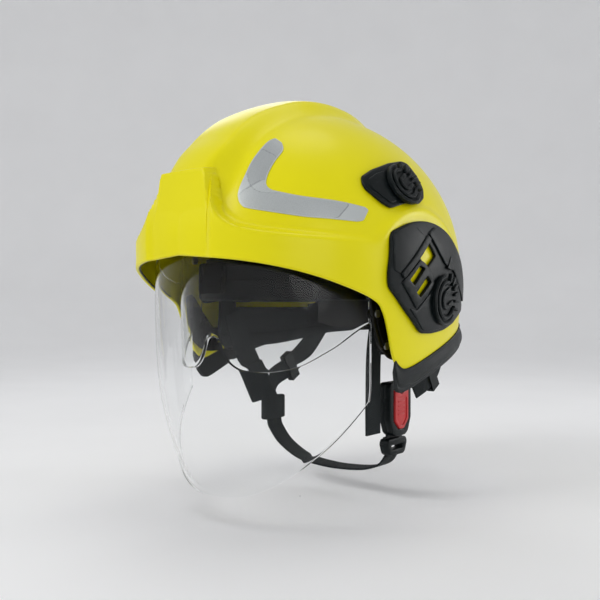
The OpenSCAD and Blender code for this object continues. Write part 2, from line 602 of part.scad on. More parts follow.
outer_shell();
front_plate();
brow_seal();
edge_trim();
tape_left();
tape_right();
tape_rear();
side_cover_left();
side_cover_right();
upper_cover_left();
upper_cover_right();
lower_socket_left();
lower_socket_right();
upper_socket_left();
upper_socket_right();
cover_screws();
impact_liner();
harness_frame();
headband();
brow_pad();
headband_rivets();
crown_strap_side();
crown_strap_long();
crown_pad();
side_lining_left();
side_lining_right();
face_shield();
shield_lip();
shield_arm_left();
shield_arm_right();
shield_screws();
shield_rails();
shield_carriages();
shield_pins();
ocular_visor();
ocular_arm_left();
ocular_arm_right();
ocular_tab();
ocular_brackets();
ocular_pins();
nape_band();
nape_pad();
nape_guides();
ratchet_housing();
ratchet_knob();
front_strap_left();
rear_strap_left();
front_strap_right();
rear_strap_right();
strap_anchors();
strap_sliders();
strap_sheath();
buckle_housing();
release_button();
button_spring();
buckle_tongue();
strap_adjuster();
chin_webbing();
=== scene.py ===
import math

import bmesh
import bpy
import numpy as np
from mathutils import Matrix, Vector


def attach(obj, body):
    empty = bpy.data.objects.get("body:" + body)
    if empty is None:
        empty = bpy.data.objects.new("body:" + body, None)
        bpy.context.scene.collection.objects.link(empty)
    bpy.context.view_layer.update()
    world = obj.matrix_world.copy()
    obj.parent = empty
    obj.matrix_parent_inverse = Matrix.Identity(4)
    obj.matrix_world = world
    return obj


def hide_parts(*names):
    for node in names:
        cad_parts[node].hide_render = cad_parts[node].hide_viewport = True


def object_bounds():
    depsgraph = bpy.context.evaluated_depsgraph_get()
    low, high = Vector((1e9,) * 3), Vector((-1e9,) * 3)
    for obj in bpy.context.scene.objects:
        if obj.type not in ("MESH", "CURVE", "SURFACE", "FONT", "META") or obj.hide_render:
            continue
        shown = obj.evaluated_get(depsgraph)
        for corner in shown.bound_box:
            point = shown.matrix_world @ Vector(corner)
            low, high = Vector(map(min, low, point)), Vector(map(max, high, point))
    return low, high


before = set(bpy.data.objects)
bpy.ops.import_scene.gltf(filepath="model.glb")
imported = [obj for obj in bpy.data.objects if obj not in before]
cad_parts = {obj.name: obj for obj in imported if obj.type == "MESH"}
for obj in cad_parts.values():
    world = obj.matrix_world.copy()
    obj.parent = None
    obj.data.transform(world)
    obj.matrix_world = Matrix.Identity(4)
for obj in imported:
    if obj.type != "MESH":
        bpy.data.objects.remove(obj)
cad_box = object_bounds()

# Lengths are in millimetres, in the frame's axes: front is -Y, the wearer's left is +X, up is +Z. make()
# turns them into metres. Only the camera, the lights, the floor and the materials' grain are in metres.
# p is an azimuth from the front and t an elevation, both in degrees about SHELL_CENTRE or HEAD_CENTRE.
MM = 0.001

# ---------- the helmet's driving sizes ----------
SHELL_SIDE, SHELL_FRONT, SHELL_REAR, SHELL_TOP, FLANK_BOTTOM = 120, 146, 151, 135, 210
SHELL_POWER = 2.1   # of the superellipsoid; 2 would be an ellipsoid
SHELL_WALL = 3.2
CREST_RISE = 9.5
COLLAR_RISE = 2.5
SHELL_CENTRE = np.array([0, 12, -17.0])
REAR_TILT = 0.04
HEAD_CENTRE = np.array([0, 21, 0.0])
HEAD = (77, 98, 92)
LINER_GAP = 4.5
SHIELD_PIVOT = (40, -75)
OCULAR_PIVOT = (20, -28)
ARM_X = 100.8
OCULAR_ARM_X = 90.4
KNOB_Z = -56.0
BUCKLE = np.array([78, 28, -128.0])
WEB_WIDE, WEB_THICK = 20, 1.8

# half width and half length of the ovals that go round the head
FRAME_OVAL, HEADBAND_OVAL, BROW_PAD_OVAL = (88, 108), (83.6, 104.6), (81.4, 102.4)
NAPE_BAND_OVAL, NAPE_PAD_OVAL, LINING_OVAL = (80, 100), (77.6, 97.6), (94, 114)

# height at each azimuth of the rim and of the brow band's upper edge
RIM = [(0, -7), (22, -12), (38, -20), (58, -36), (64, -43), (71, -84), (77, -92), (84, -89),
       (110, -72), (130, -61), (155, -53), (180, -50)]
BAND_TOP = [(0, 50), (10, 50), (10.8, 42), (11.8, 32), (13.3, 23), (16, 16), (19.5, 11.5), (26, 8), (34, 6),
            (48, 4), (64, 2)]
# how far the band stands out at each azimuth
BAND_RISE = [(0, 6), (10, 8), (13, 11), (22, 10.5), (36, 7), (52, 4), (64, 0)]
# size downward of the dome's lower half at each azimuth
SKIRT = [(0, 300), (55, 195), (90, 195), (130, 260), (180, 400)]
# the crest's half width and its share of CREST_RISE at each Y
CREST = [(-132, 24), (-110, 27), (-90, 27), (-60, 31), (-20, 37), (20, 38), (60, 32), (90, 22)]
CREST_SHARE = [(-135, 1.6), (-120, 1.3), (-105, 1), (-60, 0.9), (-30, 1), (90, 1)]


# ---------- small maths ----------
def ramp(a, b, x):
    t = np.clip((np.asarray(x, float) - a) / (b - a), 0, 1)
    return t * t * (3 - 2 * t)


def mix(a, b, t):
    return a + (b - a) * t


def hump(height, middle, width, x):
    return height * np.exp(-((x - middle) / width) ** 2)


def smooth_lookup(x, pairs):
    """Value at x on a smooth curve through (x, y) pairs that never overshoots them."""
    xs, ys = (np.array(v, float) for v in zip(*pairs))
    step, slope = np.diff(xs), np.diff(ys) / np.diff(xs)
    tangent = np.zeros(len(xs))
    same = slope[:-1] * slope[1:] > 0
    tangent[1:-1][same] = 2 / (1 / slope[:-1][same] + 1 / slope[1:][same])
    tangent[0], tangent[-1] = slope[0], slope[-1]
    x = np.clip(np.asarray(x, float), xs[0], xs[-1])
    i = np.clip(np.searchsorted(xs, x, side="right") - 1, 0, len(xs) - 2)
    t = (x - xs[i]) / step[i]
    return ((1 + 2 * t) * (1 - t) ** 2 * ys[i] + t * (1 - t) ** 2 * step[i] * tangent[i]
            + t * t * (3 - 2 * t) * ys[i + 1] - t * t * (1 - t) * step[i] * tangent[i + 1])


def fold(p):
    """Azimuth from the front, the same on both sides."""
    m = np.mod(p, 360)
    return np.minimum(m, 360 - m)


def xyz(x, y, z):
    return np.stack(np.broadcast_arrays(x, y, z), -1)


def heading(p, t):
    """Direction at an azimuth and an elevation, in degrees."""
    p, t = np.radians(p), np.radians(t)
    return xyz(np.cos(t) * np.sin(p), -np.cos(t) * np.cos(p), np.sin(t))


def unit(v):
    v = np.asarray(v, float)
    return v / np.linalg.norm(v, axis=-1, keepdims=True)


def smooth_route(points, steps=6):
    """Points along a smooth curve through given ones."""
    pts = np.asarray(points, float)
    out = []
    for i in range(len(pts) - 1):
        a, b, c, d = pts[max(i - 1, 0)], pts[i], pts[i + 1], pts[min(i + 2, len(pts) - 1)]
        for t in np.arange(steps) / steps:
            out.append(0.5 * (2 * b + (c - a) * t + (2 * a - 5 * b + 4 * c - d) * t ** 2
                              + (3 * b - a - 3 * c + d) * t ** 3))
    return np.array(out + [pts[-1]])


def distance_along(points):
    return np.concatenate([[0], np.cumsum(np.linalg.norm(np.diff(points, axis=0), axis=1))])


def evenly(points, gap):
    """The same line with points a given distance apart."""
    pts = np.asarray(points, float)
    along = distance_along(pts)
    wanted = np.linspace(0, along[-1], max(2, int(round(along[-1] / gap)) + 1))
    return np.stack([np.interp(wanted, along, pts[:, k]) for k in range(pts.shape[1])], -1)


def rounded(corners, radius, steps=4):
    """Outline with each corner turned into a short arc."""
    pts = np.asarray(corners, float)
    out = []
    for i, b in enumerate(pts):
        a, c = pts[i - 1], pts[(i + 1) % len(pts)]
        cut = min(radius, 0.45 * np.linalg.norm(a - b), 0.45 * np.linalg.norm(c - b))
        start, end = b + unit(a - b) * cut, b + unit(c - b) * cut
        for t in np.arange(steps + 1) / steps:
            out.append((1 - t) ** 2 * start + 2 * t * (1 - t) * b + t * t * end)
    return np.array(out)


# ---------- the shell's surface ----------
# Each function that adds to the dome takes its points v and gives how far the surface rises there.
def dome_radius(p, t):
    d = np.abs(heading(p, t))
    behind = -np.cos(np.radians(p)) > 0
    long = np.where(behind, SHELL_REAR, SHELL_FRONT)
    tall = np.where(np.asarray(t) > 0, SHELL_TOP, smooth_lookup(fold(p), SKIRT))
    n = SHELL_POWER
    return ((d[..., 0] / SHELL_SIDE) ** n + (d[..., 1] / long) ** n + (d[..., 2] / tall) ** n) ** (-1 / n)


def crest(v):
    x, y, z = v[..., 0], v[..., 1], v[..., 2]
    half = smooth_lookup(y, CREST)
    rise = CREST_RISE * smooth_lookup(y, CREST_SHARE)
    return rise * (1 - ramp(half - 7, half + 9, np.abs(x))) * ramp(20, 50, z) * (1 - ramp(62, 92, y))


def brow_band(p, v):
    top = smooth_lookup(fold(p), BAND_TOP)
    upright = 1 + 0.011 * np.maximum(0, v[..., 2] + 7)
    return smooth_lookup(fold(p), BAND_RISE) * upright * (1 - ramp(top - 3, top + 3, v[..., 2]))


def collar(v):
    out = (np.hypot(v[..., 1] - 8, v[..., 2] + 40) - 68) / 5
    return COLLAR_RISE * np.exp(-out * out) * ramp(-5, 8, v[..., 2]) * ramp(85, 105, np.abs(v[..., 0]))


def soft_max(a, b, blend=1.5):
    """The larger of two, with a small fillet where they cross."""
    return (a + b + np.sqrt((a - b) ** 2 + blend * blend) - blend) / 2


def shell_radius(p, t):
    r = dome_radius(p, t)
    d = heading(p, t)
    v = SHELL_CENTRE + r[..., None] * d
    w = SHELL_CENTRE + (r + np.maximum(crest(v), brow_band(p, v)))[..., None] * d
    return r + soft_max(crest(w), brow_band(p, w)) + collar(v)


def tilted(v):
    """Points with the dome leaned down towards the rear."""
    v = np.array(v, float)
    v[..., 2] -= REAR_TILT * v[..., 1] * np.clip((v[..., 2] + 20) / 150, 0, 1)
    return v


def shell_point(p, t, out=0):
    """Point on the shell's outside, or further out."""
    p, t = np.broadcast_arrays(np.asarray(p, float), np.asarray(t, float))
    return tilted(SHELL_CENTRE + (shell_radius(p, t) + out)[..., None] * heading(p, t))


def elevation(p, z, out=0):
    """Elevation at which the surface is at height z."""
    p, z = np.broadcast_arrays(np.asarray(p, float), np.asarray(z, float))
    t = np.zeros_like(p)
    for _ in range(8):
        t = np.degrees(np.arcsin(np.clip((z - SHELL_CENTRE[2]) / (shell_radius(p, t) + out), -0.99, 0.99)))
    return t


def onto_shell(v, out):
    """Points moved along their own direction to a distance from the shell's outside."""
    d = np.asarray(v, float) - SHELL_CENTRE
    p = np.degrees(np.arctan2(d[..., 0], -d[..., 1]))
    t = np.degrees(np.arcsin(d[..., 2] / np.linalg.norm(d, axis=-1)))
    return shell_point(p, t, out)


def flank_x(y, z):
    """X of the left flank, as the plain dome without band or collar."""
    n = SHELL_POWER
    long = np.where(y < SHELL_CENTRE[1], SHELL_FRONT, SHELL_REAR)
    tall = np.where(z > SHELL_CENTRE[2], SHELL_TOP, FLANK_BOTTOM)
    rest = 1 - (np.abs(y - SHELL_CENTRE[1]) / long) ** n - (np.abs(z - SHELL_CENTRE[2]) / tall) ** n
    return SHELL_SIDE * np.maximum(rest, 0.01) ** (1 / n)


def on_flank(v):
    """(y, z, height above the left flank) to a point."""
    y, z, out = np.moveaxis(np.asarray(v, float), -1, 0)
    return xyz(flank_x(y, z) + out, y, z)


def head_point(p, t, out):
    """Point at a distance outside the head's ellipsoid."""
    d = heading(p, t)
    r = 1 / np.linalg.norm(d / np.array(HEAD), axis=-1) + out
    return HEAD_CENTRE + r[..., None] * d


# ---------- solids as (points, faces) ----------
def grid_faces(index):
    return np.stack([index[:-1, :-1], index[:-1, 1:], index[1:, 1:], index[1:, :-1]], -1).reshape(-1, 4)


def ring_index(rows, cols):
    """Point numbers of a grid whose last column joins its first."""
    index = np.arange(rows * cols).reshape(rows, cols)
    return np.concatenate([index, index[:, :1]], 1)


def tube_faces(rings, size):
    """Faces of a tube of rings with so many points each, closed at both ends."""
    faces = [list(f) for f in grid_faces(ring_index(rings, size))]
    return faces + [list(range(size)), list(range((rings - 1) * size, rings * size))[::-1]]


def between(outer, inner, wrap=False, pole=False):
    """Closed solid between two grids of points. wrap joins the last column to the first;
    pole says that the last row is one point, so that no wall is made there."""
    rows, cols = outer.shape[:2]
    index = ring_index(rows, cols)[:, :None if wrap else -1]
    shift = rows * cols
    faces = [grid_faces(index), grid_faces(index)[:, ::-1] + shift]

    def wall(line):
        return np.stack([line[1:], line[:-1], line[:-1] + shift, line[1:] + shift], -1)
    faces.append(wall(index[0]))
    if not pole:
        faces.append(wall(index[-1])[:, ::-1])
    if not wrap:
        faces += [wall(index[:, 0])[:, ::-1], wall(index[:, -1])]
    return np.concatenate([outer.reshape(-1, 3), inner.reshape(-1, 3)]), np.concatenate(faces)


def slab(outline, low, high, bevel, holes=(), cell=1000):
    """Plate with rounded edges: an outline in the plane, from height low to high. One that is bent over a
    curved surface afterwards is cut into small cells."""
    curve = bpy.data.curves.new("outline", "CURVE")
    curve.dimensions, curve.fill_mode = "2D", "BOTH"
    curve.extrude = (high - low) / 2 - bevel
    curve.bevel_depth, curve.bevel_resolution, curve.offset = bevel, 1, -bevel
    for ring, turn in [(outline, 1)] + [(hole, -1) for hole in holes]:
        ring = np.asarray(ring, float)
        area = np.sum(ring[:, 0] * np.roll(ring[:, 1], -1) - ring[:, 1] * np.roll(ring[:, 0], -1))
        if area * turn < 0:
            ring = ring[::-1]
        spline = curve.splines.new("POLY")
        spline.points.add(len(ring) - 1)
        spline.points.foreach_set("co", np.c_[ring, np.zeros(len(ring)), np.ones(len(ring))].ravel())
        spline.use_cyclic_u = True
    holder = bpy.data.objects.new("outline", curve)
    mesh = bpy.data.meshes.new_from_object(holder)
    bm = bmesh.new()
    bm.from_mesh(mesh)
    bmesh.ops.remove_doubles(bm, verts=bm.verts, dist=1e-4)
    ring = np.asarray(outline, float)
    for axis in (0, 1):
        lines = np.arange(math.ceil(ring[:, axis].min() / cell), math.floor(ring[:, axis].max() / cell) + 1)
        for line in lines * cell + 0.013:
            normal = [0, 0, 0]
            normal[axis] = 1
            bmesh.ops.bisect_plane(bm, geom=bm.verts[:] + bm.edges[:] + bm.faces[:], dist=1e-5,
                                   plane_co=[line * n for n in normal], plane_no=normal)
    points = np.array([v.co for v in bm.verts])
    faces = [[v.index for v in f.verts] for f in bm.faces]
    bm.free()
    bpy.data.objects.remove(holder)
    bpy.data.curves.remove(curve)
    bpy.data.meshes.remove(mesh)
    points[:, 2] += (low + high) / 2
    return points, faces


def mapped(solid, place):
    return place(solid[0]), solid[1]


def beside(at):
    """Places (front to back, up, outward) about a point on the left."""
    return lambda v: np.asarray(at, float) + v[:, [2, 0, 1]]


def lathe(profile, start=0, end=360, step=6):
    """Solid of revolution about Z of a closed (radius, height) outline, or a sector of one."""
    profile = np.asarray(profile, float)
    whole = end - start >= 360
    angles = np.radians(np.linspace(start, end, int((end - start) / step) + 1)[:-1 if whole else None])
    rings = np.stack([np.stack([profile[:, 0] * math.cos(a), profile[:, 0] * math.sin(a), profile[:, 1]], -1)
                      for a in angles])
    if whole:
        index = ring_index(*rings.shape[:2])
        faces = grid_faces(np.concatenate([index, index[:1]], 0))
    else:
        faces = tube_faces(*rings.shape[:2])
    return rings.reshape(-1, 3), faces


def rod(radius, low, high):
    return lathe([(0, low), (radius, low), (radius, high), (0, high)])


def bar(size, centre, bevel):
    """Block with rounded edges about a centre."""
    x, y, z = size
    corners = rounded([(-x / 2, -y / 2), (x / 2, -y / 2), (x / 2, y / 2), (-x / 2, y / 2)], bevel * 2, 2)
    points, faces = slab(corners, -z / 2, z / 2, bevel)
    return points + np.asarray(centre, float), faces


def oriented(solid, at, direction, turn=0):
    """Puts a solid's +Z along a direction and moves it to a point."""
    d = Vector(direction).normalized()
    tilt = Matrix.Rotation(math.atan2(d.y, d.x), 3, "Z") @ Matrix.Rotation(math.acos(d.z), 3, "Y")
    turned = np.array(tilt @ Matrix.Rotation(math.radians(turn), 3, "Z"))
    return solid[0] @ turned.T + np.asarray(at, float), solid[1]


def mirrored(solid):
    return solid[0] * np.array([-1, 1, 1]), solid[1]


def ribbon(route, side, wide=WEB_WIDE, thick=WEB_THICK, gap=2.5):
    """Flat webbing along a route; side is the direction of its width, or that direction at both ends.
    Also gives (across, along) for its weave."""
    path = evenly(smooth_route(route), gap)
    run = unit(np.gradient(path, axis=0))
    side = np.asarray(side, float)
    if side.ndim == 2:
        side = unit(side[0] + (side[1] - side[0]) * np.linspace(0, 1, len(path))[:, None])
    out = unit(np.cross(side, run))
    upper = [(-1, 0.45), (-0.96, 0.9), (-0.9, 1.0), (-0.45, 1.0), (0, 1.0), (0.45, 1.0), (0.9, 1.0),
             (0.96, 0.9), (1, 0.45)]
    ring = upper + [(a, -b) for a, b in upper[::-1]]
    points = np.stack([path + side * wide / 2 * a + out * thick / 2 * b for a, b in ring], 1)
    n, m = points.shape[:2]
    across = np.tile([a * wide / 2 for a, _ in ring], n)
    weave = np.stack([across, np.repeat(distance_along(path), m), np.zeros(n * m)], -1)
    return points.reshape(-1, 3), tube_faces(n, m), weave


# ---------- materials ----------
class Nodes:
    """A short way to build one material's nodes. Inputs are numbers, colours or other nodes' outputs."""

    def __init__(self, name):
        self.material = bpy.data.materials.new(name)
        self.material.use_nodes = True
        self.tree = self.material.node_tree
        self.shader = self.tree.nodes["Principled BSDF"]
        self.place = self.add("ShaderNodeTexCoord").outputs["Object"]

    def add(self, kind, **inputs):
        node = self.tree.nodes.new(kind)
        self.feed(node, **inputs)
        return node

    def plug(self, socket, value):
        if isinstance(value, bpy.types.NodeSocket):
            self.tree.links.new(value, socket)
        else:
            socket.default_value = value

    def feed(self, node, **inputs):
        for name, value in inputs.items():
            self.plug(node.inputs[name.replace("_", " ")], value)

    def noise(self, scale, detail, where=None):
        return self.add("ShaderNodeTexNoise", Vector=where or self.place, Scale=scale, Detail=detail,
                        Roughness=0.55).outputs["Fac"]

    def cells(self, scale):
        return self.add("ShaderNodeTexVoronoi", Vector=self.place, Scale=scale).outputs["Distance"]

    def range(self, value, low=0.0, high=1.0, start=0.3, end=0.7):
        return self.add("ShaderNodeMapRange", Value=value, From_Min=start, From_Max=end, To_Min=low,
                        To_Max=high).outputs["Result"]

    def maths(self, operation, a, b=0.0):
        node = self.tree.nodes.new("ShaderNodeMath")
        node.operation = operation
        self.plug(node.inputs[0], a)
        self.plug(node.inputs[1], b)
        return node.outputs[0]

    def blend(self, factor, a, b):
        """Mix of two colours; their sockets come after those for numbers and vectors."""
        node = self.tree.nodes.new("ShaderNodeMix")
        node.data_type = "RGBA"
        self.plug(node.inputs[0], factor)
        self.plug(node.inputs[6], (*a, 1))
        self.plug(node.inputs[7], (*b, 1))
        return node.outputs[2]

    def bump(self, height, strength, distance):
        node = self.add("ShaderNodeBump", Height=height, Strength=strength, Distance=distance)
        self.feed(self.shader, Normal=node.outputs["Normal"])


def shaded(colour, share):
    return tuple(c * share for c in colour)


def plastic(name, colour, roughness, grain_size, grain, coat=0.0, specular=0.5):
    """Moulded plastic: a fine grain, slightly uneven gloss and colour."""
    n = Nodes(name)
    broad = n.noise(14, 4)
    fine = n.noise(1 / (grain_size * MM), 2)
    n.feed(n.shader, Base_Color=n.blend(n.range(broad), shaded(colour, 0.88), shaded(colour, 1.12)),
           Roughness=n.range(n.noise(60, 5), roughness - 0.05, roughness + 0.07),
           Coat_Weight=coat, Coat_Roughness=0.12, Specular_IOR_Level=specular)
    n.bump(fine, grain, 0.3 * MM)
    return n.material


def brushed_steel(name):
    """Plain steel with fine drawn lines."""
    n = Nodes(name)
    stretch = n.add("ShaderNodeMapping", Vector=n.place, Scale=(1, 1, 12)).outputs[0]
    lines = n.noise(900, 3, stretch)
    n.feed(n.shader, Base_Color=n.blend(n.range(lines), (0.42, 0.42, 0.43), (0.62, 0.62, 0.62)),
           Roughness=n.range(lines, 0.24, 0.42), Metallic=1)
    n.bump(lines, 0.2, 0.1 * MM)
    return n.material


def clear_plastic(name, tint, roughness=0.015):
    """Clear polycarbonate with faint wipe marks in its gloss."""
    n = Nodes(name)
    n.feed(n.shader, Base_Color=(*tint, 1), Transmission_Weight=1, IOR=1.19,
           Roughness=n.range(n.noise(40, 6), roughness, roughness + 0.02, 0.45, 0.75))
    return n.material


def webbing_cloth(name, colour, rib=1.35, lean=0.35):
    """Woven webbing: ribs a given distance apart that lean back from the middle, and yarns along it."""
    n = Nodes(name)
    weave = n.add("ShaderNodeAttribute")
    weave.attribute_name = "weave"
    split = n.add("ShaderNodeSeparateXYZ", Vector=weave.outputs["Vector"])
    across, along = split.outputs["X"], split.outputs["Y"]
    slant = n.maths("ADD", along, n.maths("MULTIPLY", n.maths("ABSOLUTE", across), lean))
    ribs = n.maths("SINE", n.maths("MULTIPLY", slant, 2 * math.pi / rib))
    yarn = n.maths("SINE", n.maths("MULTIPLY", across, 2 * math.pi / (rib * 0.8)))
    height = n.maths("ADD", n.maths("MULTIPLY", ribs, 0.5), n.maths("MULTIPLY", yarn, 0.3))
    fuzz = n.noise(1500, 2)
    shade = n.range(n.maths("ADD", height, n.maths("MULTIPLY", fuzz, 1.2)), start=-0.4, end=1.4)
    n.feed(n.shader, Base_Color=n.blend(shade, shaded(colour, 0.55), colour),
           Roughness=n.range(n.noise(300, 2), 0.72, 0.88),
           Sheen_Weight=0.04, Sheen_Roughness=0.5, Specular_IOR_Level=0.12)
    n.bump(height, 0.55, 0.35 * MM)
    return n.material


def knit_cloth(name, colour):
    """Knitted spacer cover of the pads: fine cells and soft sheen."""
    n = Nodes(name)
    cells = n.cells(620)
    n.feed(n.shader, Base_Color=n.blend(n.range(cells, start=0.1, end=0.6), shaded(colour, 0.5), colour),
           Roughness=n.range(n.noise(90, 3), 0.74, 0.92), Sheen_Weight=0.05, Specular_IOR_Level=0.1)
    n.bump(cells, 0.5, 0.4 * MM)
    return n.material


def soft_leather(name, colour):
    """Leather of the pads: pores and soft creases."""
    n = Nodes(name)
    grain = n.cells(900)
    creases = n.noise(120, 5)
    n.feed(n.shader, Base_Color=n.blend(n.range(creases), shaded(colour, 0.7), colour),
           Roughness=n.range(grain, 0.42, 0.62, 0.0, 0.6))
    n.bump(n.maths("ADD", grain, creases), 0.35, 0.4 * MM)
    return n.material


def impact_foam(name):
    """Expanded foam: its beads show as cells."""
    n = Nodes(name)
    beads = n.cells(330)
    seam, face = (0.002, 0.002, 0.0023), (0.006, 0.0065, 0.007)
    n.feed(n.shader, Base_Color=n.blend(n.range(beads, start=0.0, end=0.7), seam, face),
           Roughness=n.range(n.noise(50, 3), 0.8, 0.95), Specular_IOR_Level=0.1)
    n.bump(beads, 0.6, 0.6 * MM)
    return n.material


def reflective_film(name):
    """Grey reflective film: a fine prism lattice, segments with their own tone, thin seams between them."""
    n = Nodes(name)
    tone = n.add("ShaderNodeAttribute")
    tone.attribute_name = "tone"
    lattice = n.cells(1400)
    shade = n.maths("MULTIPLY", tone.outputs["Fac"], n.range(lattice, 0.9, 1.08, 0.0, 0.6))
    n.feed(n.shader, Base_Color=n.blend(shade, (0.04, 0.04, 0.06), (0.5, 0.53, 0.53)),
           Roughness=n.range(n.noise(200, 2), 0.3, 0.42), Metallic=0.25)
    n.bump(lattice, 0.15, 0.15 * MM)
    return n.material


def shell_plastic(name):
    """Fluorescent yellow thermoplastic: faint orange peel under a soft gloss."""
    n = Nodes(name)
    broad = n.noise(7, 3)
    n.feed(n.shader, Base_Color=n.blend(n.range(broad), (0.78, 0.70, 0.002), (0.83, 0.75, 0.003)),
           Roughness=n.range(n.noise(45, 5), 0.3, 0.38),
           Coat_Weight=0.08, Coat_Roughness=0.18, Specular_IOR_Level=0.2)
    n.bump(n.noise(420, 2), 0.06, 0.3 * MM)
    return n.material


FINISH = {
    "shell_paint": shell_plastic("shell_paint"),
    "rubber": plastic("rubber", (0.013, 0.016, 0.017), 0.52, 0.9, 0.25, specular=0.25),
    "reflective_tape": reflective_film("reflective_tape"),
    "black_plastic": plastic("black_plastic", (0.004, 0.0065, 0.007), 0.38, 0.5, 0.16, specular=0.17),
    "smoked_plastic": plastic("smoked_plastic", (0.003, 0.0028, 0.002), 0.25, 3.0, 0.04, specular=0.15),
    "frame_plastic": plastic("frame_plastic", (0.004, 0.005, 0.0055), 0.5, 0.6, 0.2, specular=0.1),
    "steel": brushed_steel("steel"),
    "foam": impact_foam("foam"),
    "padding": knit_cloth("padding", (0.02, 0.0235, 0.025)),
    "leather": soft_leather("leather", (0.011, 0.0105, 0.01)),
    "webbing": webbing_cloth("webbing", (0.019, 0.0235, 0.025)),
    "clear_shield": clear_plastic("clear_shield", (0.985, 0.99, 0.99)),
    "clear_ocular": clear_plastic("clear_ocular", (0.93, 0.94, 0.935), 0.02),
    "red_plastic": plastic("red_plastic", (0.5, 0.028, 0.03), 0.36, 0.8, 0.08, coat=0.1, specular=0.25),
    "knob_rubber": plastic("knob_rubber", (0.014, 0.015, 0.016), 0.6, 0.7, 0.3),
}


# ---------- turning solids into pieces ----------
def linked(name, data):
    obj = bpy.data.objects.new(name, data)
    bpy.context.scene.collection.objects.link(obj)
    return obj


def make(name, solids, finish, body="helmet", stands_for=None, bevel=0.0, angle=35, tone=None):
    """One piece from closed solids, edges sharper than an angle left crisp. It rides on a body and stands for
    the CAD node of its own name, unless other nodes are given."""
    points, faces = [], []
    for solid in solids:
        shift = sum(len(p) for p in points)
        points.append(solid[0])
        faces += [[int(i) + shift for i in f] for f in solid[1]]
    mesh = bpy.data.meshes.new(name)
    mesh.from_pydata((np.concatenate(points) * MM).tolist(), [], faces)
    if len(solids[0]) == 3:
        weave = np.concatenate([solid[2] for solid in solids])
        mesh.attributes.new("weave", "FLOAT_VECTOR", "POINT").data.foreach_set("vector", weave.ravel())
    if tone is not None:
        mesh.attributes.new("tone", "FLOAT", "POINT").data.foreach_set("value", tone.ravel())
    bm = bmesh.new()
    bm.from_mesh(mesh)
    bmesh.ops.remove_doubles(bm, verts=bm.verts, dist=1e-7)
    bmesh.ops.dissolve_degenerate(bm, edges=bm.edges, dist=1e-7)
    bmesh.ops.recalc_face_normals(bm, faces=bm.faces)
    limit = math.radians(angle)
    for f in bm.faces:
        f.smooth = True
    for e in bm.edges:
        e.smooth = len(e.link_faces) == 2 and e.calc_face_angle(0) < limit
    bm.to_mesh(mesh)
    bm.free()
    mesh.materials.append(FINISH[finish])
    piece = linked(name, mesh)
    if bevel:
        add_bevel(piece, bevel)
    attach(piece, body)
    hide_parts(*(stands_for or [name]))
    return piece


def add_bevel(piece, width):
    modifier = piece.modifiers.new("edges", "BEVEL")
    modifier.width, modifier.segments = width * MM, 2
    modifier.limit_method, modifier.angle_limit = "ANGLE", math.radians(40)
    modifier.harden_normals = False


def dress(node, finish, bevel=0.0):
    """Gives a CAD node its finish and rounds its edges."""
    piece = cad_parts[node]
    piece.data.materials.clear()
    piece.data.materials.append(FINISH[finish])
    if bevel:
        weld = piece.modifiers.new("weld", "WELD")
        weld.merge_threshold = 0.005 * MM
        add_bevel(piece, bevel)


def pair(name, solids, finish, **more):
    """The same piece on the left and the right."""
    return (make(name + "_left", solids, finish, **more),
            make(name + "_right", [mirrored(s) for s in solids], finish, **more))


# ---------- camera, light and stage, in metres ----------
def camera():
    """Level camera to the front left."""
    azimuth, distance, height = math.radians(39), 0.65, -0.045
    data = bpy.data.cameras.new("camera")
    data.lens, data.sensor_width, data.shift_y = 45.5, 36, 0.0117
    data.clip_start, data.clip_end = 0.01, 20
    obj = linked("camera", data)
    obj.location = (distance * math.sin(azimuth), -distance * math.cos(azimuth), height)
    obj.rotation_euler = (math.radians(90), 0, azimuth)
    bpy.context.scene.camera = obj


def area_light(name, place, size, power):
    """Round soft light that faces the helmet."""
    aim = Vector((0, 0, -0.03))
    data = bpy.data.lights.new(name, "AREA")
    data.shape, data.size, data.energy = "DISK", size, power
    obj = linked(name, data)
    obj.location = place
    obj.rotation_euler = (aim - Vector(place)).to_track_quat("-Z", "Y").to_euler()


def lights():
    area_light("key", (-0.45, -1.3, 0.95), 0.8, 9)
    area_light("fill", (1.6, -0.6, 0.35), 0.9, 3)
    area_light("top", (0.1, 0.25, 1.5), 0.8, 2.5)
    area_light("rim", (1.0, 1.1, 0.2), 0.6, 4)
    area_light("far_rim", (-1.0, 0.9, 1.0), 0.8, 3)
    world = bpy.data.worlds.new("studio")
    world.use_nodes = True
    background = world.node_tree.nodes["Background"]
    background.inputs["Color"].default_value = (0.95, 0.96, 0.98, 1)
    background.inputs["Strength"].default_value = 0.5
    bpy.context.scene.world = world


def stage():
    """Pale floor that curves up into a backdrop all round, below the chin strap when it hangs open."""
    clearance = 0.02
    floor_z = cad_box[0].z - clearance
    radii = [0.001, 0.5, 1.0, 1.5, 1.9, 2.15, 2.35, 2.5, 2.55, 2.55]
    heights = [0, 0, 0, 0, 0.05, 0.18, 0.42, 0.8, 1.2, 2.0]
    profile = smooth_route([(r, h) for r, h in zip(radii, heights)], 4)
    angles = np.radians(np.arange(0, 360, 5))
    rings = np.array([[(r * math.cos(a), r * math.sin(a), floor_z + h) for a in angles] for r, h in profile])
    mesh = bpy.data.meshes.new("floor")
    mesh.from_pydata(rings.reshape(-1, 3).tolist(), [], grid_faces(ring_index(*rings.shape[:2])).tolist())
    for f in mesh.polygons:
        f.use_smooth = True
    n = Nodes("pale_floor")
    shade, light = (0.9, 0.9, 0.905), (0.92, 0.92, 0.925)
    n.feed(n.shader, Base_Color=n.blend(n.range(n.noise(6, 2)), shade, light),
           Roughness=n.range(n.noise(30, 2), 0.7, 0.8))
    mesh.materials.append(n.material)
    linked("floor", mesh)


